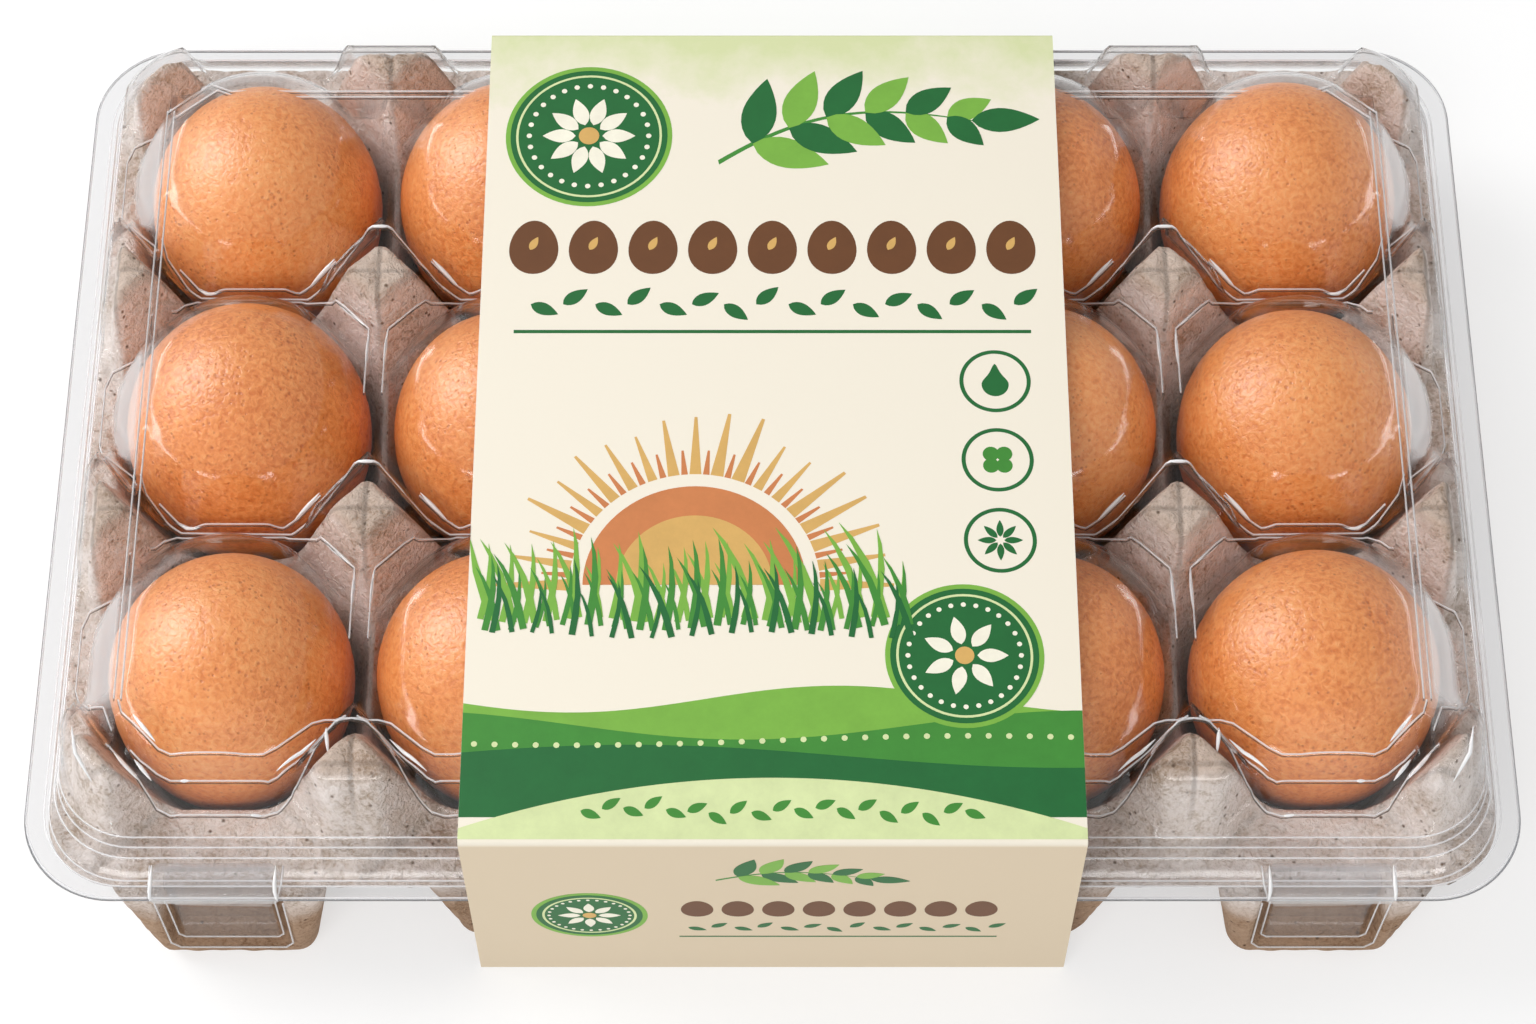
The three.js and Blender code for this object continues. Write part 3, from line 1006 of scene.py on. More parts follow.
            y = y + 0.18 * np.sin(dx * 0.9 + z * 0.5) * np.sin(z * 0.8 - dx * 0.3)
            rings.append([(float(px) + x, float(py), z) for px, py in zip(dx, y)])
        work = bmesh.new()
        loops = [[work.verts.new(Vector(point) * MM) for point in ring] for ring in rings]
        for below, above in zip(loops, loops[1:]):
            for k in range(len(below)):
                n = (k + 1) % len(below)
                work.faces.new([below[k], above[k], above[n], below[n]])
        work.faces.new(loops[0])
        work.faces.new(loops[-1][::-1])
        bmesh.ops.triangulate(work, faces=[face for face in work.faces if len(face.verts) > 4])
        for face in work.faces:
            face.smooth = True
        bmesh.ops.recalc_face_normals(work, faces=work.faces)
        mesh = bpy.data.meshes.new(name)
        work.to_mesh(mesh)
        work.free()
        mesh.materials.append(self.finish)
        return dress(to_object(name, mesh), "pulp")

    def pressed(self, edge: Places) -> Places:
        """Shapes a lug's recess, with a slight lip round it.

        Args:
            edge: Distances from the recess's edge, negative inside.

        Returns:
            How far back the lug's front is.
        """
        share = np.clip(0.5 - edge / 1.6, 0, 1)
        lip = 0.4 * np.exp(-(((edge - 1.9) / 0.8) ** 2))
        return self.recess_depth * share * share * (3 - 2 * share) - lip

    def build_front(self) -> list[Object]:
        """Makes the two lugs and the three bulges between them."""
        lugs = [self.bulge(f"latch_lug_{k + 1}", x, 19.6, 14.8, -91, recess=True)
                for k, x in enumerate((-self.latch_x, self.latch_x))]
        bulges = [self.bulge(f"front_bulge_{k + 1}", x, 15, 8, -87.6) for k, x in enumerate(self.bulge_x)]
        return lugs + bulges


def box_mesh(name: str, sides: tuple[float, ...]) -> Mesh:
    """Makes a box.

    Args:
        name: The mesh's name.
        sides: Its two sides along each axis, in millimetres.

    Returns:
        The mesh.
    """
    low, high = Vector(sides[::2]), Vector(sides[1::2])
    work = bmesh.new()
    for corner in bmesh.ops.create_cube(work, size=1)["verts"]:
        corner.co = Vector((high[k] if corner.co[k] > 0 else low[k]) for k in range(3)) * MM
    mesh = bpy.data.meshes.new(name)
    work.to_mesh(mesh)
    work.free()
    return mesh


@dataclass
class ClearLid:
    """The clear lid: a dome over each egg, a hump over each post, a ledge, a flange and two snaps."""

    grid: EggGrid
    finish: Material
    cut_edge: Material
    reflecting_snap_film: Material
    film: float = 0.45
    valley: float = 38.5
    corner: float = 14.5
    saddle: float = 46.3
    saddle_half: float = 1.6
    arch: float = 2.2
    arch_half: float = 15
    beam_x: float = 117.0
    beam_y: float = 68.5
    beam_top: float = 50.9
    beam_half: float = 0.6
    beam_steep: float = 9
    latch_x: float = 100
    ledge: float = 36
    straight_half: float = 24.4
    slanted_half: float = 23.5
    front_longer: float = 7
    bend_ease: float = 0.5
    edge_ease: float = 0.8
    wall_ease: float = 1.2
    dome: Profile = field(default_factory=lambda: [
        (0, 59.3), (5, 59.15), (9, 58.5), (13, 56.9), (16.5, 54.4), (19.5, 51), (22, 46.8), (24, 42),
        (26, 36), (60, -60)])
    outer: Profile = field(default_factory=lambda: [
        (0, 66), (14.6, 56.6), (16.2, 53.6), (17.5, 51.4), (20.2, 46.6), (26.2, 39.2), (28.5, 35.5),
        (31, 30)])
    ahead: Profile = field(default_factory=lambda: [
        (0, 60.5), (12, 58.9), (19, 56.6), (24.2, 53.4), (25.6, 51.6), (26.9, 46.2), (28.1, 44.6), (31, 39),
        (33.5, 33)])
    chamfer: Profile = field(default_factory=lambda: [
        (0, 80), (31, 57), (35, 53.6), (36.3, 51.7), (38, 46.6), (38.9, 45.1), (41.4, 38.8), (44, 33)])
    hump: Profile = field(default_factory=lambda: [
        (0, 51.7), (8.9, 51.5), (10.4, 47), (12.2, 41.6), (14.8, 38.4), (17, 33)])
    sides: Stations = field(default_factory=lambda: [
        (30, 4.8, 10.8, 6.8), (36, 4.2, 9.9, 5.9), (46.5, 2.9, 5.4, 3.1), (51.4, 1.4, 2.5, -0.2),
        (60.4, -3, -2, -7)])
    flange: Stations = field(default_factory=lambda: [
        (4.8, 12.2, 6.7, 14.6, 36.0), (5.05, 12.6, 6.95, 14.7, 35.7), (5.2, 12.8, 7.1, 14.8, 35.2),
        (5.9, 14.9, 7.7, 15, 33.0), (6.1, 15.2, 7.9, 15, 32.5), (6.5, 15.6, 8.2, 15.2, 32.15),
        (7.2, 16.2, 8.8, 15.4, 32.1), (9.9, 18.3, 11.3, 16.6, 32.1), (10.2, 18.6, 11.6, 16.8, 32.3),
        (10.6, 19.0, 12.0, 17, 32.3), (10.74, 19.15, 12.09, 17, 31.95)])
    snap_block: tuple[float, ...] = (11.9, -93.2, -86.6, 32.0, 36.2)
    snap_plug: tuple[float, ...] = (9.9, -90.2, -85.4, 8.4, 31.6)

    def domes(self, x: Places, y: Places) -> Places:
        """Gives the domes over the eggs, with their flat facets.

        Args:
            x: Places along the pack.
            y: Places across the pack.

        Returns:
            The heights.
        """
        column, row, dx, dy = self.grid.nearest_cell(x, y)
        front_row = (row == 0) & (dy < 0)
        across, reach = np.abs(dx), np.abs(dy)
        lengthened = np.where(front_row, np.clip(reach - self.front_longer, 0, None), reach)
        lobe = np.interp(np.hypot(across, lengthened), *eased(self.dome, 0.9))
        straight = self.valley + (self.straight_half - reach) * 6
        slanted = self.valley + (self.slanted_half - (across + reach) / math.sqrt(2)) * 5
        ahead = np.interp(reach, *eased(self.ahead, self.bend_ease))
        chamfer = np.interp(across + reach, *eased(self.chamfer, self.bend_ease))
        outside = ((column == 0) & (dx < 0)) | ((column == self.grid.columns - 1) & (dx > 0))
        side = np.where(outside, np.interp(across, *eased(self.outer, self.bend_ease)), ABOVE_ALL)
        lobe = soft_min(lobe, np.where(front_row, ABOVE_ALL, straight), self.wall_ease)
        lobe = soft_min(lobe, np.where(front_row, ahead, ABOVE_ALL), self.edge_ease)
        lobe = soft_min(lobe, np.where(front_row, chamfer, slanted), self.edge_ease)
        return soft_min(lobe, side, self.edge_ease)

    def beams(self, x: Places, y: Places) -> Places:
        """Gives the straight ridges along both ends and the rear.

        Args:
            x: Places along the pack.
            y: Places across the pack.

        Returns:
            The heights, 0 where there is no ridge.
        """
        def ridge(away: Places) -> Places:
            """Gives the ridge's section."""
            return self.beam_top - np.clip(np.abs(away) - self.beam_half, 0, None) * self.beam_steep
        ends = np.where((y > self.grid.front - 2) & (y < self.beam_y), ridge(np.abs(x) - self.beam_x), 0)
        return np.maximum(ends, np.where(np.abs(x) < self.beam_x, ridge(y - self.beam_y), 0))

    def height(self, x: Places, y: Places) -> Places:
        """Gives the lid's outer face.

        Args:
            x: Places along the pack.
            y: Places across the pack.

        Returns:
            The heights.
        """
        _, _, _, dy = self.grid.nearest_cell(x, y)
        post_x, post_y = self.grid.nearest_post(x, y)
        away = np.abs(post_x) + np.where(post_y > 0, 0.8, 1.0) * np.abs(post_y)
        hump = np.interp(away, *eased(self.hump, 0.6))
        between = (np.abs(x) < self.grid.half_x - 10) & (y > self.grid.front) & (y < self.grid.rear)
        rib = np.clip((self.saddle_half + 0.5 - np.abs(post_x)) / 0.9, 0, 1) * between
        rib = rib * rib * (3 - 2 * rib)
        arch = self.saddle + self.arch * np.clip(1 - (dy / self.arch_half) ** 2, 0, 1)
        lobe = self.domes(x, y) * (1 - rib) + arch * rib
        ridges = soft_max(hump, self.beams(x, y), self.edge_ease)
        body = soft_max(soft_max(lobe, ridges, self.edge_ease), np.full_like(x, self.valley), 0.7)
        wall = frame_height(self.grid, x, y, self.sides, self.corner)
        return np.maximum(soft_min(body, wall, self.wall_ease), self.ledge)

    def thicken(self, piece: Object) -> Object:
        """Gives a sheet the film's thickness, with its cut edge as its second material where it has one."""
        wall = piece.modifiers.new("film", "SOLIDIFY")
        wall.thickness = self.film * MM
        wall.offset = -1
        wall.material_offset_rim = len(piece.data.materials) - 1
        return settle(piece)

    def build(self) -> Object:
        """Makes the formed film as one piece."""
        bands = [(Reach(*ring[:4]), ring[4]) for ring in self.flange]
        sheet = FormedSheet(self.grid, Reach(4.45, 10.6, 6.15, self.corner))
        piece = to_object("clear_lid", sheet.build("clear_lid", self.height, bands))
        piece.data.materials.append(self.finish)
        piece.data.materials.append(self.cut_edge)
        return dress(self.thicken(piece), "clear_film", "lid")

    def shell(self, name: str, sides: tuple[float, ...], taper: float, finish: Material) -> Object:
        """Makes a hollow box of film that is open below.

        Args:
            name: The piece's name.
            sides: The box's two sides along each axis.
            taper: How far its upper face is drawn in.
            finish: Its film.

        Returns:
            The piece.
        """
        mesh = box_mesh(name, sides)
        middle = (sides[0] + sides[1]) / 2 * MM
        work = bmesh.new()
        work.from_mesh(mesh)
        top = max(v.co.z for v in work.verts)
        for corner in work.verts:
            if corner.co.z > top - 1e-6:
                corner.co.x += math.copysign(taper * MM, middle - corner.co.x)
        work.normal_update()
        bmesh.ops.delete(work, geom=[f for f in work.faces if f.normal.z < -0.9], context="FACES")
        bmesh.ops.bevel(work, geom=[e for e in work.edges if not e.is_boundary], offset=1.5 * MM, segments=4,
                        affect="EDGES", profile=0.5)
        for face in work.faces:
            face.smooth = True
        work.to_mesh(mesh)
        work.free()
        piece = to_object(name, mesh)
        piece.data.materials.append(finish)
        return dress(self.thicken(piece), "clear_film")

    def build_snaps(self) -> list[Object]:
        """Makes the two snap blocks on the flange and the plugs under them."""
        made = []
        for k, x in enumerate((-self.latch_x, self.latch_x)):
            half, *rest = self.snap_block
            # The snap blocks take the film with painted reflection.
            made.append(self.shell(f"snap_block_{k + 1}", (x - half, x + half, *rest), 0.8, self.reflecting_snap_film))
            half, *rest = self.snap_plug
            made.append(self.shell(f"snap_plug_{k + 1}", (x - half, x + half, *rest), 0.0, self.finish))
        return made


class SizedTree:
    """A geometry tree whose sizes are named inputs."""

    NAME = ""
    INPUTS: tuple[tuple[str, str, object], ...] = ()

    def __init__(self) -> None:
        """Makes the tree with its inputs, and wires it."""
        self.tree = bpy.data.node_groups.new(self.NAME, "GeometryNodeTree")
        face = self.tree.interface
        face.new_socket("Geometry", in_out="INPUT", socket_type="NodeSocketGeometry")
        self.keys = {}
        for name, kind, value in self.INPUTS:
            socket = face.new_socket(name, in_out="INPUT", socket_type=kind)
            if value is not None:
                socket.default_value = value
            self.keys[name] = socket.identifier
        face.new_socket("Geometry", in_out="OUTPUT", socket_type="NodeSocketGeometry")
        self.wire()

    def wire(self) -> None:
        """Adds the tree's nodes."""
        raise NotImplementedError

    def run(self, piece: Object, **values: object) -> Object:
        """Runs the tree on a piece.

        Args:
            piece: The object.
            values: The tree's inputs by name, with spaces as underscores.

        Returns:
            The same object, with its final mesh.
        """
        maker = piece.modifiers.new(self.NAME, "NODES")
        maker.node_group = self.tree
        for name, value in values.items():
            maker[self.keys[name.replace("_", " ").title()]] = value
        return settle(piece)


class BeadTree(SizedTree):
    """A geometry tree that lays a round bead along each line, thinner where the line says so."""

    NAME = "bead_along_line"
    INPUTS = (("Radius", "NodeSocketFloat", 0.2 * MM), ("Sides", "NodeSocketInt", 6),
              ("Film", "NodeSocketMaterial", None))

    def wire(self) -> None:
        """Turns the lines into curves and sweeps a ring along them."""
        tree = self.tree
        given = put(tree, "NodeGroupInput").outputs
        share = put(tree, "GeometryNodeInputNamedAttribute", {"Name": "share"}, data_type="FLOAT")
        curve = put(tree, "GeometryNodeMeshToCurve", {"Mesh": given["Geometry"]})
        ring = put(tree, "GeometryNodeCurvePrimitiveCircle", {
            "Resolution": given["Sides"], "Radius": given["Radius"]})
        bead = put(tree, "GeometryNodeCurveToMesh", {
            "Curve": curve.outputs[0], "Profile Curve": ring.outputs[0], "Scale": share.outputs[0],
            "Fill Caps": True})
        real = put(tree, "GeometryNodeRealizeInstances", {"Geometry": bead.outputs[0]})
        dressed = put(tree, "GeometryNodeSetMaterial", {
            "Geometry": real.outputs[0], "Material": given["Film"]})
        put(tree, "NodeGroupOutput", {0: dressed.outputs[0]})

    def lay(self, name: str, lines: list[list[Point]], radius: float, film: Material, closed: bool = False,
            tapered: bool = False) -> Object:
        """Lays beads along lines.

        Args:
            name: The piece's name.
            lines: The lines' points, in millimetres.
            radius: The beads' greatest radius.
            film: Their material.
            closed: Whether each line is a loop.
            tapered: Whether each bead thins out to both ends.

        Returns:
            The piece.
        """
        points, edges, shares = [], [], []
        for line in lines:
            first = len(points)
            points.extend(line)
            edges.extend((first + k, first + k + 1) for k in range(len(line) - 1))
            if closed:
                edges.append((first + len(line) - 1, first))
            bow = np.sin(np.linspace(0.04, 0.96, len(line)) * math.pi) ** 0.9
            shares.extend(bow if tapered else np.ones(len(line)))
        mesh = bpy.data.meshes.new(name)
        mesh.from_pydata((np.array(points) * MM).tolist(), edges, [])
        share = mesh.attributes.new("share", "FLOAT", "POINT")
        share.data.foreach_set("value", np.array(shares, np.float32))
        return self.run(to_object(name, mesh), radius=radius * MM, film=film)


@dataclass
class LidCreases:
    """The fine pale lines where the film is bent, partly whitened film and partly painted highlight, the dark
    ones that lie beside them as painted shade, and painted glints.

    Each line is given from the corner post beside the sleeve, as places along, across and up.
    """

    lid: ClearLid
    # Pale lines: whitened film at the bends, and painted highlight.
    pale: Material
    # Dark lines beside them: painted shade, standing in for the dark seen through the bends.
    dark: Material
    # Glints: painted highlights.
    painted_glint: Material
    post_x: float = -75
    sleeve_side: float = 22
    beam_gap: float = 1.3
    step: float = 0.8
    bite: float = 0.9
    proud: float = 0.05
    beads: BeadTree = field(default_factory=BeadTree)
    # Painted highlights on the humps and valleys round the posts.
    painted_post_glints: tuple[Line, ...] = (
        ((-36.4, 2.6, 39.6), (-34.4, 1.6, 39.2), (-31.4, 1.5, 39.2)), ((-14.2, 2.8, 40.6), (-9.4, 6.6, 44.2)),
        ((-8.4, -3.2, 43.8), (-2.5, -9.2, 45.4)), ((-1.75, -10.2, 45.6), (-1.7, -20.0, 48.0)),
        ((-31.5, -0.7, 38.9), (-27.5, -1.2, 38.9)), ((-2.4, 8.8, 51.6), (2.4, 8.8, 51.6)))
    # Painted highlights on the front domes.
    painted_front_glints: tuple[Line, ...] = (
        ((-13.4, -0.2, 46.4), (-10.4, 2.4, 47.0), (-6.6, 5.6, 48.4)), ((-4.6, 7.0, 50.4), (-4.2, 2.6, 46.8)),
        ((-38.8, 8.4, 51.0), (-34.4, 3.0, 51.4)), ((-38.8, 1.8, 46.4), (-35.8, -1.4, 45.0)),
        ((-42.6, 3.2, 46.0), (-38.6, -0.4, 42.6)),
        ((-49.6, 6.4, 51.0), (-49.2, 2.6, 47.4), (-46.6, -1.2, 43.2)),
        ((-31.0, -1.7, 45.7), (-28.6, -1.7, 45.7)), ((-19.0, -5.4, 38.9), (-16.4, -5.4, 38.9)))
    valley_front: Line = (
        (-41.6, 6.5, 50.9), (-41.0, 4.3, 48.0), (-37.4, 1.7, 39.4), (-35.3, 0.6, 38.7), (-14.8, 0.3, 38.7),
        (-10.5, 2.1, 41.6), (-7.2, 4.4, 44.6), (-5.6, 6.0, 47.2), (-2.3, 8.7, 51.6), (2.3, 8.7, 51.6),
        (5.6, 6.0, 47.2), (7.2, 4.4, 44.6), (10.5, 2.1, 41.6), (14.8, 0.3, 38.7), (21.5, 0.4, 38.7))
    valley_inner: Line = (
        (-39.4, 5.2, 42.5), (-36.0, 2.5, 39.8), (-33.8, 1.7, 39.2), (-16.4, 1.7, 39.2), (-13.4, 3.2, 40.8),
        (-9.2, 6.2, 44.0))
    valley_rear: Line = (
        (-40.3, -3.8, 40.8), (-38.3, -1.9, 40.2), (-36.0, -0.5, 38.8), (-16.0, -0.3, 38.8),
        (-8.6, -2.9, 43.6), (-7.0, -4.4, 45.0), (-1.9, -9.7, 45.4), (-1.7, -13.0, 46.8), (-1.7, -18.0, 48.0),
        (-1.7, -25.6, 48.5))
    front_top: Line = (
        (-41.6, 11.1, 52.2), (-40.9, 8.9, 52.0), (-33.9, 1.9, 52.2), (-31.6, 0.8, 52.6), (-15.2, 0.8, 52.6),
        (-12.9, 2.2, 52.4), (-7.0, 7.2, 51.8), (-4.8, 7.9, 51.6), (0.0, 7.9, 51.6))
    front_middle: Line = (
        (-39.5, 3.2, 47.6), (-37.6, 1.3, 47.2), (-34.5, -1.0, 46.2), (-32.3, -1.7, 45.7), (-14.9, -1.7, 45.7),
        (-13.3, -0.8, 45.8), (-6.8, 4.8, 46.8), (-3.8, 6.6, 49.6), (-1.0, 8.4, 51.5))
    front_foot: Line = (
        (-44.0, 4.6, 47.0), (-39.2, 0.6, 43.0), (-35.6, -4.1, 39.0), (-33.0, -5.4, 38.9), (-16.2, -5.4, 38.9),
        (-13.8, -4.6, 38.9), (-10.0, -1.0, 41.6), (-6.6, 4.2, 46.2), (-2.8, 7.4, 50.6), (0.0, 7.9, 51.5))
    loops: tuple[tuple[float, ...], ...] = (
        (4.3, 9.0, 6.1, 14.4, 37.2), (4.5, 10.5, 6.3, 14.5, 36.1), (4.95, 12.5, 6.85, 14.6, 36.0),
        (6.3, 15.4, 8.1, 15.1, 32.4), (7.2, 16.4, 8.8, 15.4, 32.2), (10.3, 18.7, 11.7, 16.8, 32.4))
    end_wall: Profile = field(default_factory=lambda: [
        (118.2, 18.4), (120.3, 13.2), (126.0, 9.9), (127.2, 6.4), (127.2, -6.4), (126.0, -9.9),
        (120.3, -13.2), (118.2, -18.4)])
    # Painted highlight down each end of a snap block.
    painted_snap_glint: Line = (
        (11.1, -87.4, 36.1), (11.1, -89.0, 36.2), (11.1, -91.0, 36.2), (11.2, -92.4, 35.9),
        (11.3, -93.1, 34.6), (11.4, -93.15, 33.2))
    plug_outer: Profile = field(default_factory=lambda: [
        (-11.6, 27.6), (-11.3, 8.2), (-9.8, 6.0), (9.8, 6.0), (11.3, 8.2), (11.6, 27.6)])
    plug_inner: Profile = field(default_factory=lambda: [
        (-9.9, 27.0), (-9.7, 10.0), (-8.6, 8.6), (8.6, 8.6), (9.7, 10.0), (9.9, 27.0)])

    def film_height(self, x: float, y: float) -> float:
        """Gives the lid's height at one place."""
        return float(self.lid.height(np.array([x]), np.array([y]))[0])

    def spaced(self, line: list[Point]) -> list[Point]:
        """Drops the points that lie on the one before."""
        return [p for k, p in enumerate(line) if k == 0 or math.dist(p, line[k - 1]) > self.proud]

    def laid(self, line: Line, post_y: float, side: int, flip: bool) -> list[Point]:
        """Lays one line on the lid.

        Args:
            line: Its places from the post.
            post_y: Where the post is across the pack.
            side: -1 for the left half of the pack, 1 for the right.
            flip: Whether the line is turned over, to the side of the post that is nearer the sleeve.

        Returns:
            Close points on the film.
        """
        points = []
        for (ax, ay, az), (bx, by, bz) in zip(line, line[1:]):
            for t in np.linspace(0, 1, max(int(math.dist((ax, ay), (bx, by)) / self.step), 2) + 1):
                dx, dy, z = ax + (bx - ax) * t, ay + (by - ay) * t, az + (bz - az) * t
                dx = -dx if flip else dx
                if flip and dx > self.sleeve_side:
                    continue
                x, y = -side * (self.post_x + dx), post_y + dy
                film = min(max(self.film_height(x, y), z - self.bite), z + self.bite)
                points.append((x, y, film + self.proud))
        return self.spaced(points)

    def wall_line(self, side: int, row: int) -> list[Point]:
        """Follows the slanted outer wall of one end dome.

        Args:
            side: -1 for the left end, 1 for the right.
            row: The dome's row.

        Returns:
            Close points on the film.
        """
        middle = self.lid.grid.row_y(row)
        line = []
        for (ax, ay), (bx, by) in zip(self.end_wall, self.end_wall[1:]):
            for t in np.linspace(0, 1, 7):
                x, y = side * (ax + (bx - ax) * t), middle + ay + (by - ay) * t
                line.append((x, y, self.film_height(x, y) + self.proud))
        return self.spaced(line)

    def plug_lines(self) -> list[list[Point]]:
        """Gives the lines round the two plugs in the lugs and over the snap blocks."""
        lines = []
        for x in (-self.lid.latch_x, self.lid.latch_x):
            lines.append([(x + dx, -91.4, z) for dx, z in self.plug_outer])
            lines.append([(x + dx, -90.3, z) for dx, z in self.plug_inner])
            for side in (-1, 1):
                lines.append([(x + side * dx, y, z) for dx, y, z in (
                    (12.0, -86.3, 33.0), (11.9, -90.0, 33.4), (11.2, -92.9, 32.9))])
        return lines

    def beam_lines(self, side: int, gap: float) -> list[list[Point]]:
        """Follows the ridges along one end and the rear.

        Args:
            side: -1 for the left end, 1 for the right.
            gap: How far out from the ridges' inner edge.

        Returns:
            The two lines.
        """
        lid, up = self.lid, self.lid.beam_top + 0.1
        end, rear = lid.beam_x - lid.beam_half + gap, lid.beam_y - lid.beam_half + gap
        along = [(side * end, y, up) for y in np.arange(lid.grid.front + 12, lid.beam_y - 3.5, 2.0)]
        behind = ((end, rear - 5), (end - 8, rear + 1.6), (end - 12, rear), (55, rear))
        return [along, [(side * x, y, up) for x, y in behind]]

    def build(self) -> list[Object]:
        """Makes the pale creases of both halves, partly painted highlight, their painted shade lines, the
        loops round the rim and the painted glints.
        """
        grid = self.lid.grid
        lines = []
        for side in (-1, 1):
            for row in (1, 2):
                y = grid.front + row * grid.pitch_y
                lines.append(self.laid(self.valley_front, y, side, False))
                for line in (self.valley_inner, self.valley_rear):
                    lines.extend(self.laid(line, y, side, flip) for flip in (False, True))
            for line in (self.front_top, self.front_middle, self.front_foot):
                lines.extend(self.laid(line, grid.front, side, flip) for flip in (False, True))
            for gap in (0, self.beam_gap):
                lines.extend(self.beam_lines(side, gap))
        lines.extend(self.wall_line(side, row) for side in (-1, 1) for row in range(grid.rows))
        # Painted shade: a dark line just in front of and below each pale one.
        painted_shade_lines = [[(x, y - 0.42, z - 0.12) for x, y, z in line] for line in lines]
        rims = [[(x, y, loop[4]) for x, y in Reach(*loop[:4]).outline(grid)] for loop in self.loops]
        pieces = [
            self.beads.lay("lid_creases", lines + self.plug_lines(), 0.19, self.pale),
            self.beads.lay("lid_painted_crease_shades", painted_shade_lines, 0.14, self.dark),
            self.beads.lay("lid_rim_lines", rims, 0.19, self.pale, closed=True),
            self.beads.lay("lid_painted_glints", self.painted_glint_lines(), 0.38, self.painted_glint, tapered=True)]
        return [dress(piece, "clear_film") for piece in pieces]

    def painted_glint_lines(self) -> list[list[Point]]:
        """Gives the short painted highlights where a bend would catch the lamps."""
        lines = []
        for side in (-1, 1):
            for row in (1, 2):
                y = self.lid.grid.front + row * self.lid.grid.pitch_y
                lines.extend(self.laid(line, y, side, False) for line in self.painted_post_glints)
                lines.extend(self.laid(self.painted_post_glints[k], y, side, True) for k in (1, 3))
            lines.extend(self.laid(line, self.lid.grid.front, side, False) for line in self.painted_front_glints)
            lines.append(self.laid(self.painted_front_glints[0], self.lid.grid.front, side, True))
        for x in (-self.lid.latch_x, self.lid.latch_x):
            for side in (-1, 1):
                lines.append([(x + side * dx, y, z) for dx, y, z in self.painted_snap_glint])
        return lines


@dataclass
class BrownEggs:
    """Fifteen eggs, each a little different in size, shape, lean and tone."""

    grid: EggGrid
    finish: Material
    sides: int = 64
    bands: int = 40
    blunt: float = 0.045
    width: float = 0.462
    half_height: float = 27.7
    forward: float = 1.0
    lean: float = -8

    def build(self) -> list[Object]:
        """Makes an egg for each of the part's egg solids."""
        return [self.egg(row, column) for row in range(self.grid.rows) for column in range(self.grid.columns)]

    def rings(self, radius: float, half: float, phase: float) -> list[Places]:
        """Gives the rings of points round an egg.

        Args:
            radius: Its radius.
            half: Half its height.
            phase: What makes it differ from the others.

        Returns:
            The rings, from the lowest up.
        """
        rings = []
        around = np.arange(self.sides) / self.sides * 2 * math.pi
        for k in range(1, self.bands):
            angle = math.pi * (k / self.bands - 0.5)
            wide = radius * math.cos(angle) * (1 + (self.blunt + 0.012 * math.sin(phase)) * math.sin(angle))
            wide = wide * (1 + 0.006 * np.sin(around * 2 + phase) + 0.003 * np.sin(around * 3 - phase))
            z = np.full(self.sides, half * math.sin(angle))
            rings.append(np.stack([wide * np.cos(around), wide * np.sin(around), z], 1))
        return rings

    def egg(self, row: int, column: int) -> Object:
        """Makes one egg.

        Args:
            row: Its row, counted from the front.
            column: Its column, counted from the left.

        Returns:
            The piece.
        """
        node = f"egg_row{row + 1}_column{column + 1}"
        low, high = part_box(node)
        middle = (low + high) / 2 - Vector((0, self.forward * MM if row == 0 else 0, 0))
        half = ((high - low) / 2).z
        phase = row * 2.7 + column * 1.9
        rings = self.rings(self.grid.pitch_x * self.width * half / self.half_height, half, phase)
        points = np.concatenate([[[0, 0, -half]], *rings, [[0, 0, half]]])
        lean = Matrix.Rotation(math.radians(self.lean + 2.5 * math.sin(phase * 1.7)), 3, "X")
        lean = Matrix.Rotation(math.radians(3 * math.sin(phase * 2.3 + 1)), 3, "Y") @ lean
        points = points @ np.array(lean).T + np.array(middle)
        points[:, 2] = np.clip(points[:, 2], low.z, high.z)
        faces = []
        for k in range(self.bands - 2):
            for i in range(self.sides):
                a = 1 + k * self.sides + i
                b = 1 + k * self.sides + (i + 1) % self.sides
                faces.append((a, b, b + self.sides, a + self.sides))
        last = 1 + (self.bands - 2) * self.sides
        for i in range(self.sides):
            faces.append((0, 1 + (i + 1) % self.sides, 1 + i))
            faces.append((last + i, last + (i + 1) % self.sides, len(points) - 1))
        mesh = bpy.data.meshes.new(f"brown_{node}")
        mesh.from_pydata(points.tolist(), [], faces)
        mesh.shade_smooth()
        tone = mesh.attributes.new("tone", "FLOAT", "POINT")
        own = 0.04 * math.sin(row * 3.1 + column * 5.3 + 1.1)
        tone.data.foreach_set("value", np.full(len(points), own, np.float32))
        mesh.materials.append(self.finish)
        return dress(to_object(f"brown_{node}", mesh), "eggshell", node)


def turns(sides: int) -> list[float]:
    """Gives the angles of evenly spaced points on a circle."""
    return [2 * math.pi * k / sides for k in range(sides)]


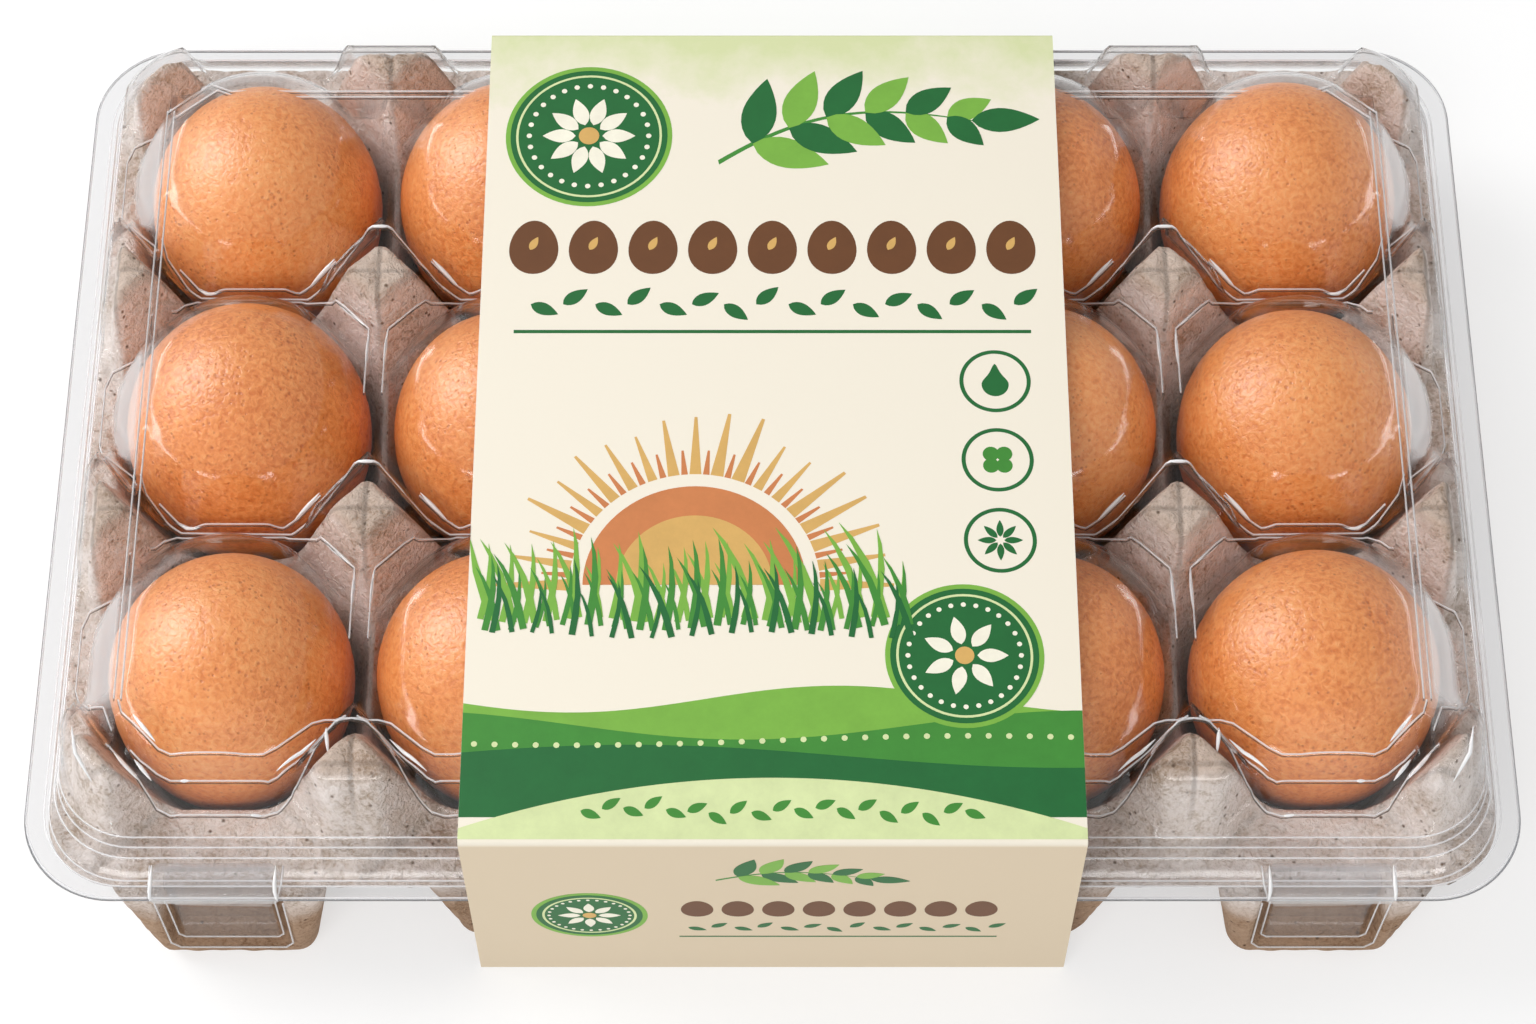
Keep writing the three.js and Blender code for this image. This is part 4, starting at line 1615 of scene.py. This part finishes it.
@dataclass
class Motif:
    """A flat outline that is printed, in millimetres round its own origin."""

    points: Profile

    @staticmethod
    def disc(radius: float, sides: int) -> "Motif":
        """A disc."""
        return Motif([(radius * math.cos(a), radius * math.sin(a)) for a in turns(sides)])

    @staticmethod
    def leaf(length: float, width: float, steps: int = 10) -> "Motif":
        """A leaf from the origin along X, fullest before its middle."""
        upper = []
        for k in range(1, steps):
            t = k / steps
            upper.append((length * t, width / 2 * math.sin(math.pi * t ** 0.8) ** 0.9))
        return Motif([(0, 0), *[(x, -y) for x, y in upper], (length, 0), *reversed(upper)])

    @staticmethod
    def bar(length: float, start: float, end: float) -> "Motif":
        """A bar along X that goes from one width to another."""
        return Motif([(0, -start / 2), (length, -end / 2), (length, end / 2), (0, start / 2)])

    @staticmethod
    def egg(radius: float, sides: int = 40) -> "Motif":
        """An egg outline, blunt end down."""
        return Motif([(radius * math.cos(a) * (1 - 0.1 * math.sin(a)), radius * 1.28 * math.sin(a))
                      for a in turns(sides)])

    @staticmethod
    def drop(radius: float, sides: int = 30) -> "Motif":
        """A drop with its tip up."""
        points = []
        for turn in turns(sides):
            a = turn + math.pi / 2
            up = max(math.sin(a), 0)
            narrow, pull = 1 - 0.45 * up ** 2, 1 + 0.75 * up ** 6
            points.append((radius * math.cos(a) * narrow, radius * math.sin(a) * pull))
        return Motif(points)

    @staticmethod
    def band(start: float, end: float, low: Callable, high: Callable, steps: int = 60) -> "Motif":
        """A strip between two curves, each a function of x."""
        xs = [start + (end - start) * k / steps for k in range(steps + 1)]
        return Motif([*[(x, low(x)) for x in xs], *[(x, high(x)) for x in reversed(xs)]])

    def placed(self, x: float, y: float, turn: float = 0, size: float = 1) -> "Motif":
        """Gives the outline turned, sized and moved."""
        c, s = math.cos(turn) * size, math.sin(turn) * size
        return Motif([(x + px * c - py * s, y + px * s + py * c) for px, py in self.points])


class RepeatTree(SizedTree):
    """A geometry tree that repeats a flat motif round a ring or along a wavy row."""

    NAME = "repeat_motif"
    INPUTS = (("Count", "NodeSocketInt", 8), ("Radius", "NodeSocketFloat", 0.0),
              ("Start", "NodeSocketFloat", 0.0), ("Sweep", "NodeSocketFloat", 2 * math.pi),
              ("Pitch", "NodeSocketFloat", 0.0), ("Wave", "NodeSocketFloat", 0.0),
              ("Wave Step", "NodeSocketFloat", 0.5),
              ("Turn", "NodeSocketFloat", 0.0), ("Swing", "NodeSocketFloat", 0.0),
              ("Smallest", "NodeSocketFloat", 1.0), ("Largest", "NodeSocketFloat", 1.0),
              ("Seed", "NodeSocketInt", 3), ("Ink", "NodeSocketMaterial", None))

    def wire(self) -> None:
        """Lays out the points, and sets a turned and sized copy on each."""
        tree = self.tree

        def of(how: str, *values: float | NodeSocket) -> NodeSocket:
            """Adds one sum and gives its result."""
            return maths(tree, how, *values)

        given = put(tree, "NodeGroupInput").outputs
        index = put(tree, "GeometryNodeInputIndex").outputs[0]
        points = put(tree, "GeometryNodePoints", {"Count": given["Count"]})
        share = of("DIVIDE", index, given["Count"])
        angle = of("ADD", given["Start"], of("MULTIPLY", share, given["Sweep"]))
        along = of("SUBTRACT", index, of("DIVIDE", of("SUBTRACT", given["Count"], 1.0), 2.0))
        sway = of("SINE", of("MULTIPLY", along, given["Wave Step"]))
        across = of("MULTIPLY", of("COSINE", angle), given["Radius"])
        x = of("ADD", across, of("MULTIPLY", along, given["Pitch"]))
        y = of("ADD", of("MULTIPLY", of("SINE", angle), given["Radius"]), of("MULTIPLY", sway, given["Wave"]))
        place = put(tree, "ShaderNodeCombineXYZ", {0: x, 1: y})
        moved = put(tree, "GeometryNodeSetPosition", {
            "Geometry": points.outputs[0], "Position": place.outputs[0]})
        ring = of("GREATER_THAN", given["Radius"], 0.0)
        side = of("SUBTRACT", of("MULTIPLY", of("MODULO", index, 2.0), 2.0), 1.0)
        chance = put(tree, "FunctionNodeRandomValue", {2: -1.0, 3: 1.0, "Seed": given["Seed"]}).outputs[1]
        lean = of("MULTIPLY", given["Swing"], side)
        turn = of("ADD", of("ADD", given["Turn"], of("MULTIPLY", ring, angle)), lean)
        loose = of("ADD", turn, of("MULTIPLY", chance, of("MULTIPLY", given["Swing"], 0.35)))
        turned = put(tree, "ShaderNodeCombineXYZ", {2: loose})
        size = put(tree, "FunctionNodeRandomValue", {
            2: given["Smallest"], 3: given["Largest"], "Seed": given["Seed"]})
        scale = put(tree, "ShaderNodeCombineXYZ", {0: size.outputs[1], 1: size.outputs[1], 2: 1.0})
        copies = put(tree, "GeometryNodeInstanceOnPoints", {
            "Points": moved.outputs[0], "Instance": given["Geometry"], "Rotation": turned.outputs[0],
            "Scale": scale.outputs[0]})
        real = put(tree, "GeometryNodeRealizeInstances", {"Geometry": copies.outputs[0]})
        inked = put(tree, "GeometryNodeSetMaterial", {"Geometry": real.outputs[0], "Material": given["Ink"]})
        put(tree, "NodeGroupOutput", {0: inked.outputs[0]})

    def repeat(self, motif: Motif, ink: Material, **sizes: float) -> list[Profile]:
        """Runs the tree on one motif.

        Args:
            motif: The outline that is repeated.
            ink: The material of the copies.
            sizes: The tree's inputs by name, with spaces as underscores.

        Returns:
            The outline of each copy, in millimetres.
        """
        mesh = bpy.data.meshes.new("motif")
        mesh.from_pydata([(x, y, 0) for x, y in motif.points], [], [list(range(len(motif.points)))])
        piece = self.run(to_object("motif", mesh), ink=ink, **sizes)
        made = [[(piece.data.vertices[v].co.x, piece.data.vertices[v].co.y) for v in face.vertices]
                for face in piece.data.polygons]
        bpy.data.objects.remove(piece)
        return made


@dataclass
class PaperSleeve:
    """The board sleeve round the middle of the pack, and its plain print."""

    board: Material
    cut_edge: Material
    inks: dict[Ink, Material]
    half: float = 54.4
    thick: float = 0.5
    top: float = 60.1
    front: float = -93.35
    rear: float = 93.5
    rear_fold: float = 76
    shoulder: float = 34
    fold: float = 0.9
    layer: float = 0.019
    stamped: int = 0
    repeats: RepeatTree = field(default_factory=RepeatTree)
    printed: dict[Ink, bmesh.types.BMesh] = field(default_factory=dict)

    def rounded(self, inset: float) -> Profile:
        """Gives the section with round folds.

        Args:
            inset: How far it is moved inwards.

        Returns:
            The points across and up.
        """
        lean = inset * 0.6
        front, rear, top = self.front + inset, self.rear - inset, self.top - inset
        corners = [(front, inset), (rear, inset), (rear, self.shoulder), (self.rear_fold - lean, top),
                   (front, top)]
        fold = max(self.fold - inset, 0.25)
        outline = []
        for k, corner in enumerate(corners):
            here = Vector(corner)
            before = (Vector(corners[k - 1]) - here).normalized()
            after = (Vector(corners[(k + 1) % len(corners)]) - here).normalized()
            half_angle = before.angle(after) / 2
            centre = here + (before + after).normalized() * fold / math.sin(half_angle)
            start = here + before * fold / math.tan(half_angle) - centre
            end = here + after * fold / math.tan(half_angle) - centre
            sweep = start.angle_signed(end)
            for step in range(9):
                turn = Matrix.Rotation(-sweep * step / 8, 2)
                point = centre + turn @ start
                outline.append((point.x, point.y))
        return outline

    def build(self) -> Object:
        """Makes the board as one closed piece with pale cut edges."""
        outer, inner = self.rounded(0), self.rounded(self.thick)
        count = len(outer)
        work = bmesh.new()
        rings = []
        for outline, x in ((outer, -self.half), (outer, self.half), (inner, self.half), (inner, -self.half)):
            rings.append([work.verts.new((x * MM, y * MM, z * MM)) for y, z in outline])
        for k in range(4):
            here, there = rings[k], rings[(k + 1) % 4]
            for i in range(count):
                j = (i + 1) % count
                face = work.faces.new([here[i], here[j], there[j], there[i]])
                face.material_index = 1 if k in (1, 3) else 0
                face.smooth = k in (0, 2)
        bmesh.ops.recalc_face_normals(work, faces=work.faces)
        mesh = bpy.data.meshes.new("paper_sleeve")
        work.to_mesh(mesh)
        work.free()
        piece = to_object("paper_sleeve", mesh)
        mesh.materials.append(self.board)
        mesh.materials.append(self.cut_edge)
        mesh.set_sharp_from_angle(angle=math.radians(40))
        return dress(piece, "printed_paper", "sleeve")

    def stamp(self, motif: Motif, ink: Ink, panel: Panel = Panel.TOP, level: int = 1) -> None:
        """Prints one outline as a thin closed film of ink.

        Args:
            motif: The outline, from the middle of the panel's lower edge.
            ink: Its colour.
            panel: The face that it is printed on.
            level: How many inks lie under it, counted from one.
        """
        work = self.printed.setdefault(ink, bmesh.new())
        self.stamped += 1
        proud = level * self.layer + 0.0027 * (self.stamped % 6)
        sunk = -0.02
        rings = []
        for lift in (sunk, proud):
            ring = []
            for u, v in motif.points:
                u = min(max(u, -self.half + 0.02), self.half - 0.02)
                if panel is Panel.TOP:
                    ring.append(work.verts.new((u * MM, (self.front + v) * MM, (self.top + lift) * MM)))
                else:
                    ring.append(work.verts.new((u * MM, (self.front - lift) * MM, v * MM)))
            rings.append(ring)
        count = len(motif.points)
        faces = [work.faces.new(rings[1]), work.faces.new(rings[0][::-1])]
        for i in range(count):
            j = (i + 1) % count
            faces.append(work.faces.new([rings[0][i], rings[0][j], rings[1][j], rings[1][i]]))
        for face in faces:
            face.smooth = False

    def ring(self, x: float, y: float, radius: float, width: float, ink: Ink, panel: Panel = Panel.TOP,
             level: int = 1) -> None:
        """Prints a thin ring in short curved pieces, round a place on the panel."""
        parts, steps = 12, 6
        for k in range(parts):
            start, end = 2 * math.pi * k / parts, 2 * math.pi * (k + 1) / parts
            angles = [start + (end - start) * t / steps for t in range(steps + 1)]
            outer, inner = ([(x + reach * math.cos(a), y + reach * math.sin(a)) for a in angles]
                            for reach in (radius + width / 2, radius - width / 2))
            self.stamp(Motif([*outer, *reversed(inner)]), ink, panel, level)

    def many(self, motif: Motif, ink: Ink, x: float, y: float, panel: Panel = Panel.TOP, level: int = 1,
             **sizes: float) -> None:
        """Prints a motif that the geometry tree repeats, round a place on the panel."""
        for points in self.repeats.repeat(motif, self.inks[ink], **sizes):
            self.stamp(Motif(points).placed(x, y), ink, panel, level)

    def badge(self, x: float, y: float, radius: float, panel: Panel, petals: int) -> None:
        """Prints a round badge with a flower in it."""
        self.stamp(Motif.disc(radius + 0.9, 72).placed(x, y), Ink.LIGHT_GREEN, panel, 2)
        self.stamp(Motif.disc(radius, 72).placed(x, y), Ink.DARK_GREEN, panel, 3)
        self.ring(x, y, radius - 1.3, 0.45, Ink.PALE_GREEN, panel, 4)
        dot, petal = Motif.disc(radius * 0.035, 10), Motif.leaf(radius * 0.42, radius * 0.2)
        self.many(dot, Ink.CREAM, x, y, panel, 4, count=28, radius=radius * 0.76)
        self.many(petal, Ink.CREAM, x, y, panel, 4, count=petals, radius=radius * 0.17)
        self.stamp(Motif.disc(radius * 0.13, 24).placed(x, y), Ink.STRAW, panel, 4)

    def sprig(self, x: float, y: float, size: float, panel: Panel, turn: float = 0) -> None:
        """Prints a curved sprig with leaves in two greens."""
        def bow(s: float) -> float:
            """Gives the stem's height along the sprig."""
            return 5.5 * math.sin((s + 4) / 40 * math.pi) - 1
        stem = Motif.band(0, 34, lambda s: bow(s) - 0.35 + s * 0.008, lambda s: bow(s) + 0.35 - s * 0.008, 24)
        self.stamp(stem.placed(x, y, turn, size), Ink.MID_GREEN, panel, 1)
        for k in range(6):
            s = 5 + k * 5.2
            for side in (-1, 1):
                ink = Ink.DARK_GREEN if (k + (side > 0)) % 2 else Ink.LIGHT_GREEN
                lean = math.atan2(bow(s + 0.5) - bow(s - 0.5), 1.0) + side * (0.85 - k * 0.05)
                leaf = Motif.leaf(10.5 - k * 0.8, 4.6 - k * 0.25).placed(s, bow(s), lean)
                self.stamp(leaf.placed(x, y, turn, size), ink, panel, 2)
        tip = Motif.leaf(9, 3.8).placed(34, bow(34), -0.2)
        self.stamp(tip.placed(x, y, turn, size), Ink.DARK_GREEN, panel, 2)

    def print_top(self) -> None:
        """Prints the upper face: badges and a sprig, rows of eggs and leaves, a sun over grass, and hills."""
        self.badge(-35, 146, 15, Panel.TOP, 10)
        self.sprig(-10, 139, 1.45, Panel.TOP, 0.22)
        self.many(Motif.egg(4.6), Ink.BROWN, 0, 121, count=9, pitch=11.2)
        self.many(Motif.leaf(3.2, 1.5), Ink.STRAW, -0.7, 120.4, level=2, count=9, pitch=11.2, turn=1.1)
        self.many(Motif.leaf(5.6, 2.6), Ink.DARK_GREEN, 0, 108.5, count=16, pitch=6.0, swing=0.55)
        self.stamp(Motif.bar(96, 0.7, 0.7).placed(-48, 102.6), Ink.DARK_GREEN)
        self.print_sun(-14, 50)
        self.print_icons(41)
        self.print_hills()
        self.badge(34, 36, 13.2, Panel.TOP, 7)

    def print_sun(self, x: float, y: float) -> None:
        """Prints the half sun at a place, its rays and the grass before it."""
        self.many(Motif.bar(11, 2.0, 0.5), Ink.STRAW, x, y, count=19, radius=22.5, start=0.0,
                  sweep=math.pi * 19 / 18, smallest=0.8, largest=1.25)
        self.many(Motif.bar(5, 1.2, 0.4), Ink.RUSSET, x, y, count=18, radius=22.5, start=math.pi / 36,
                  sweep=math.pi)
        for radius, ink, level in ((20, Ink.RUSSET, 2), (14, Ink.STRAW, 3)):
            half = [(radius * math.cos(a), radius * math.sin(a)) for a in turns(80)[:41]]
            self.stamp(Motif(half).placed(x, y), ink, level=level)
        blade = Motif([(0, -0.7), (5, -0.75), (10, -0.3), (15, 1.0), (18, 2.4), (14, 1.5), (9, 0.8), (4, 0.7),
                       (0, 0.7)])
        for k, (ink, count) in enumerate(((Ink.LIGHT_GREEN, 40), (Ink.MID_GREEN, 34), (Ink.DARK_GREEN, 22))):
            self.many(blade, ink, x + k * 0.7, 43 - k * 1.5, level=4 + k, count=count, pitch=78 / count,
                      turn=math.pi / 2, swing=0.2, smallest=0.5, largest=1.15 - 0.15 * k, seed=5 + k,
                      wave=0.6)

    def print_icons(self, x: float) -> None:
        """Prints three small rings with a drop, a clover and a star in them, one above the other."""
        for k, y in enumerate((92, 75.5, 59)):
            self.ring(x, y, 6.2, 0.75, Ink.DARK_GREEN)
            if k == 0:
                self.stamp(Motif.drop(2.5).placed(x, y - 0.7), Ink.DARK_GREEN)
            elif k == 1:
                self.many(Motif.disc(1.5, 20), Ink.MID_GREEN, x, y, count=4, radius=1.7, start=0.785)
            else:
                self.many(Motif.leaf(3.4, 1.3), Ink.DARK_GREEN, x, y, count=8, radius=0.7)

    def print_hills(self) -> None:
        """Prints the layered hills, their row of dots, and the pale band with its garland at the front."""
        edge = self.half
        hills = ((Ink.LIGHT_GREEN, 11, 27.5, 2.6, 15, 0.8), (Ink.MID_GREEN, 10, 22.5, 2.8, 19, -1.3),
                 (Ink.DARK_GREEN, 5, 16.5, 2.2, 24, 2.6))
        for k, (ink, low, high, rise, length, shift) in enumerate(hills):
            hill = Motif.band(-edge, edge, lambda s: low,
                              lambda s: high + rise * math.sin(s / length + shift))
            self.stamp(hill, ink, level=k + 1)
        self.many(Motif.disc(0.55, 10), Ink.PALE_GREEN, 0, 19.5, level=4, count=30, pitch=3.6, wave=0.9,
                  wave_step=0.16)
        lens = Motif.band(-edge, edge, lambda s: 0.9, lambda s: 12.4 - (s / edge) ** 2 * 9.5)
        self.stamp(lens, Ink.PALE_GREEN, level=4)
        self.many(Motif.leaf(3.8, 1.7), Ink.MID_GREEN, 0, 6.2, level=5, count=19, pitch=3.7, wave=0.5,
                  wave_step=0.7, swing=0.5)

    def print_front(self) -> None:
        """Prints the smaller version on the front face."""
        self.badge(-33, 27, 9.6, Panel.FRONT, 8)
        self.sprig(-10, 43, 0.8, Panel.FRONT, 0.05)
        self.many(Motif.egg(2.9), Ink.BROWN, 12, 30, Panel.FRONT, count=8, pitch=7.3)
        self.many(Motif.leaf(3.6, 1.7), Ink.DARK_GREEN, 12, 21, Panel.FRONT, count=14, pitch=4.2, swing=0.55)
        self.stamp(Motif.bar(58, 0.5, 0.5).placed(-17, 16.5), Ink.DARK_GREEN, Panel.FRONT)

    def print_all(self) -> list[Object]:
        """Prints both faces and makes one piece for each ink."""
        self.print_top()
        self.print_front()
        made = []
        for ink, work in self.printed.items():
            bmesh.ops.recalc_face_normals(work, faces=work.faces)
            name = f"print_{ink.name.lower()}"
            mesh = bpy.data.meshes.new(name)
            work.to_mesh(mesh)
            work.free()
            mesh.materials.append(self.inks[ink])
            made.append(dress(to_object(name, mesh), "printed_paper"))
        return made


@dataclass
class Studio:
    """The pale floor, the soft lights and the camera at the photograph's angle."""

    film_pieces: list[Object]
    lens: float = 85.52
    camera_at: Point = (-0.81, -336.78, 642.86)
    tilt: float = 27.87

    def floor(self) -> None:
        """Lays the floor."""
        mesh = bpy.data.meshes.new("floor")
        mesh.from_pydata([(-4, -4, 0), (4, -4, 0), (4, 4, 0), (-4, 4, 0)], [], [(0, 1, 2, 3)])
        material = PlainFinish("studio_floor", (0.42, 0.42, 0.42), 0.9).make()
        shader = material.node_tree.nodes["Principled BSDF"]
        shader.inputs["Emission Color"].default_value = (1, 1, 1, 1)
        shader.inputs["Emission Strength"].default_value = 0.6
        mesh.materials.append(material)
        to_object("floor", mesh)

    def lamp(self, name: str, at: Point, size: tuple[float, float], power: float,
             gloss: bool = True, spread: bool = True) -> Object:
        """Hangs one soft box that faces the pack.

        Args:
            name: The lamp's name.
            at: Its place in metres.
            size: Its two sides in metres.
            power: Its power in watts.
            gloss: Whether it shows in shiny surfaces.
            spread: Whether it lights matt surfaces.

        Returns:
            The lamp.
        """
        light = bpy.data.lights.new(name, "AREA")
        light.shape = "RECTANGLE"
        light.size, light.size_y = size
        light.energy = power
        lamp = bpy.data.objects.new(name, light)
        lamp.location = at
        lamp.rotation_euler = (Vector((0, 0, 0.03)) - Vector(at)).to_track_quat("-Z", "Y").to_euler()
        lamp.visible_glossy = gloss
        lamp.visible_transmission = gloss
        lamp.visible_diffuse = spread
        bpy.context.scene.collection.objects.link(lamp)
        return lamp

    def flag_off(self, lamp: Object) -> None:
        """Keeps a lamp's light off the film, as a flag does, so that it leaves no bright patch there."""
        kept = bpy.data.collections.new("flagged_film")
        for piece in self.film_pieces:
            kept.objects.link(piece)
        lamp.light_linking.receiver_collection = kept
        for entry in kept.collection_objects:
            entry.light_linking.link_state = "EXCLUDE"

    def lights(self) -> None:
        """Sets the pale surroundings and the lamps."""
        scene = bpy.context.scene
        world = bpy.data.worlds.new("studio")
        world.use_nodes = True
        world.node_tree.nodes["Background"].inputs["Color"].default_value = (1, 1, 1, 1)
        world.node_tree.nodes["Background"].inputs["Strength"].default_value = 0.45
        scene.world = world
        self.flag_off(self.lamp("key", (-1.15, 0.45, 1.15), (0.9, 0.9), 15.2))
        self.flag_off(self.lamp("sheen", (-1.15, 0.39, 0.9), (0.6, 0.6), 27, spread=False))
        self.lamp("fill", (-0.3, -1.0, 1.1), (0.9, 0.6), 8, gloss=False)
        self.lamp("left_strip", (-1.1, 0.1, 0.12), (1.9, 0.08), 4.0, spread=False)
        self.lamp("right_strip", (1.1, 0.1, 0.12), (1.9, 0.08), 3.0, spread=False)
        self.lamp("front_strip", (0.0, -1.1, 0.14), (1.8, 0.08), 4.0, spread=False)

    def camera(self) -> None:
        """Sets the camera and how its picture is shown."""
        scene = bpy.context.scene
        lens = bpy.data.cameras.new("camera")
        lens.lens = self.lens
        lens.sensor_width = 36
        lens.clip_start = 0.01
        camera = bpy.data.objects.new("camera", lens)
        camera.location = Vector(self.camera_at) * MM
        camera.rotation_euler = (math.radians(self.tilt), 0, 0)
        scene.collection.objects.link(camera)
        scene.camera = camera
        scene.view_settings.view_transform = "Standard"
        cycles = scene.cycles
        cycles.transparent_max_bounces = 20
        cycles.transmission_bounces = cycles.max_bounces = 14
        cycles.diffuse_bounces = cycles.glossy_bounces = 3
        cycles.caustics_refractive = cycles.caustics_reflective = False
        cycles.sample_clamp_indirect = 4

    def build(self) -> None:
        """Makes the whole studio."""
        self.floor()
        self.lights()
        self.camera()


def main() -> None:
    """Builds the pack from the tray up, then the studio."""
    logging.basicConfig(level=logging.INFO, format="%(name)s: %(message)s")
    grid = EggGrid()
    tray = PulpTray(grid, PulpFinish().make())
    tray.build()
    tray.build_front()
    BrownEggs(grid, EggshellFinish().make()).build()
    rim = PlainFinish("film_cut_edge", srgb(176, 178, 182), 0.25).make()
    # The snap blocks' film carries painted reflection over its whole surface.
    lid = ClearLid(grid, FilmFinish().make(), rim, FilmFinish(overall_painted_reflection=0.1).make())
    film_pieces = [lid.build(), *lid.build_snaps()]
    # The pale crease lines are partly whitened film and partly painted highlight.
    pale = PlainFinish("crease_whitening_and_highlight", (0.95, 0.955, 0.97), 0.2, cover=0.42).make()
    # The dark crease lines are painted shade.
    dark = PlainFinish("painted_crease_shade", srgb(92, 80, 72), 0.3, cover=0.45).make()
    # The glint beads are painted highlights.
    painted_glint = PlainFinish("painted_glint_film", (0.98, 0.98, 0.985), 0.15, cover=0.88).make()
    LidCreases(lid, pale, dark, painted_glint).build()
    inks = {ink: ink.finish().make() for ink in Ink}
    cut_edge = PlainFinish("cut_board", srgb(252, 251, 247), 0.7).make()
    sleeve = PaperSleeve(PaperFinish().make(), cut_edge, inks)
    sleeve.build()
    sleeve.print_all()
    Studio(film_pieces).build()


if __name__ == "__main__":
    main()
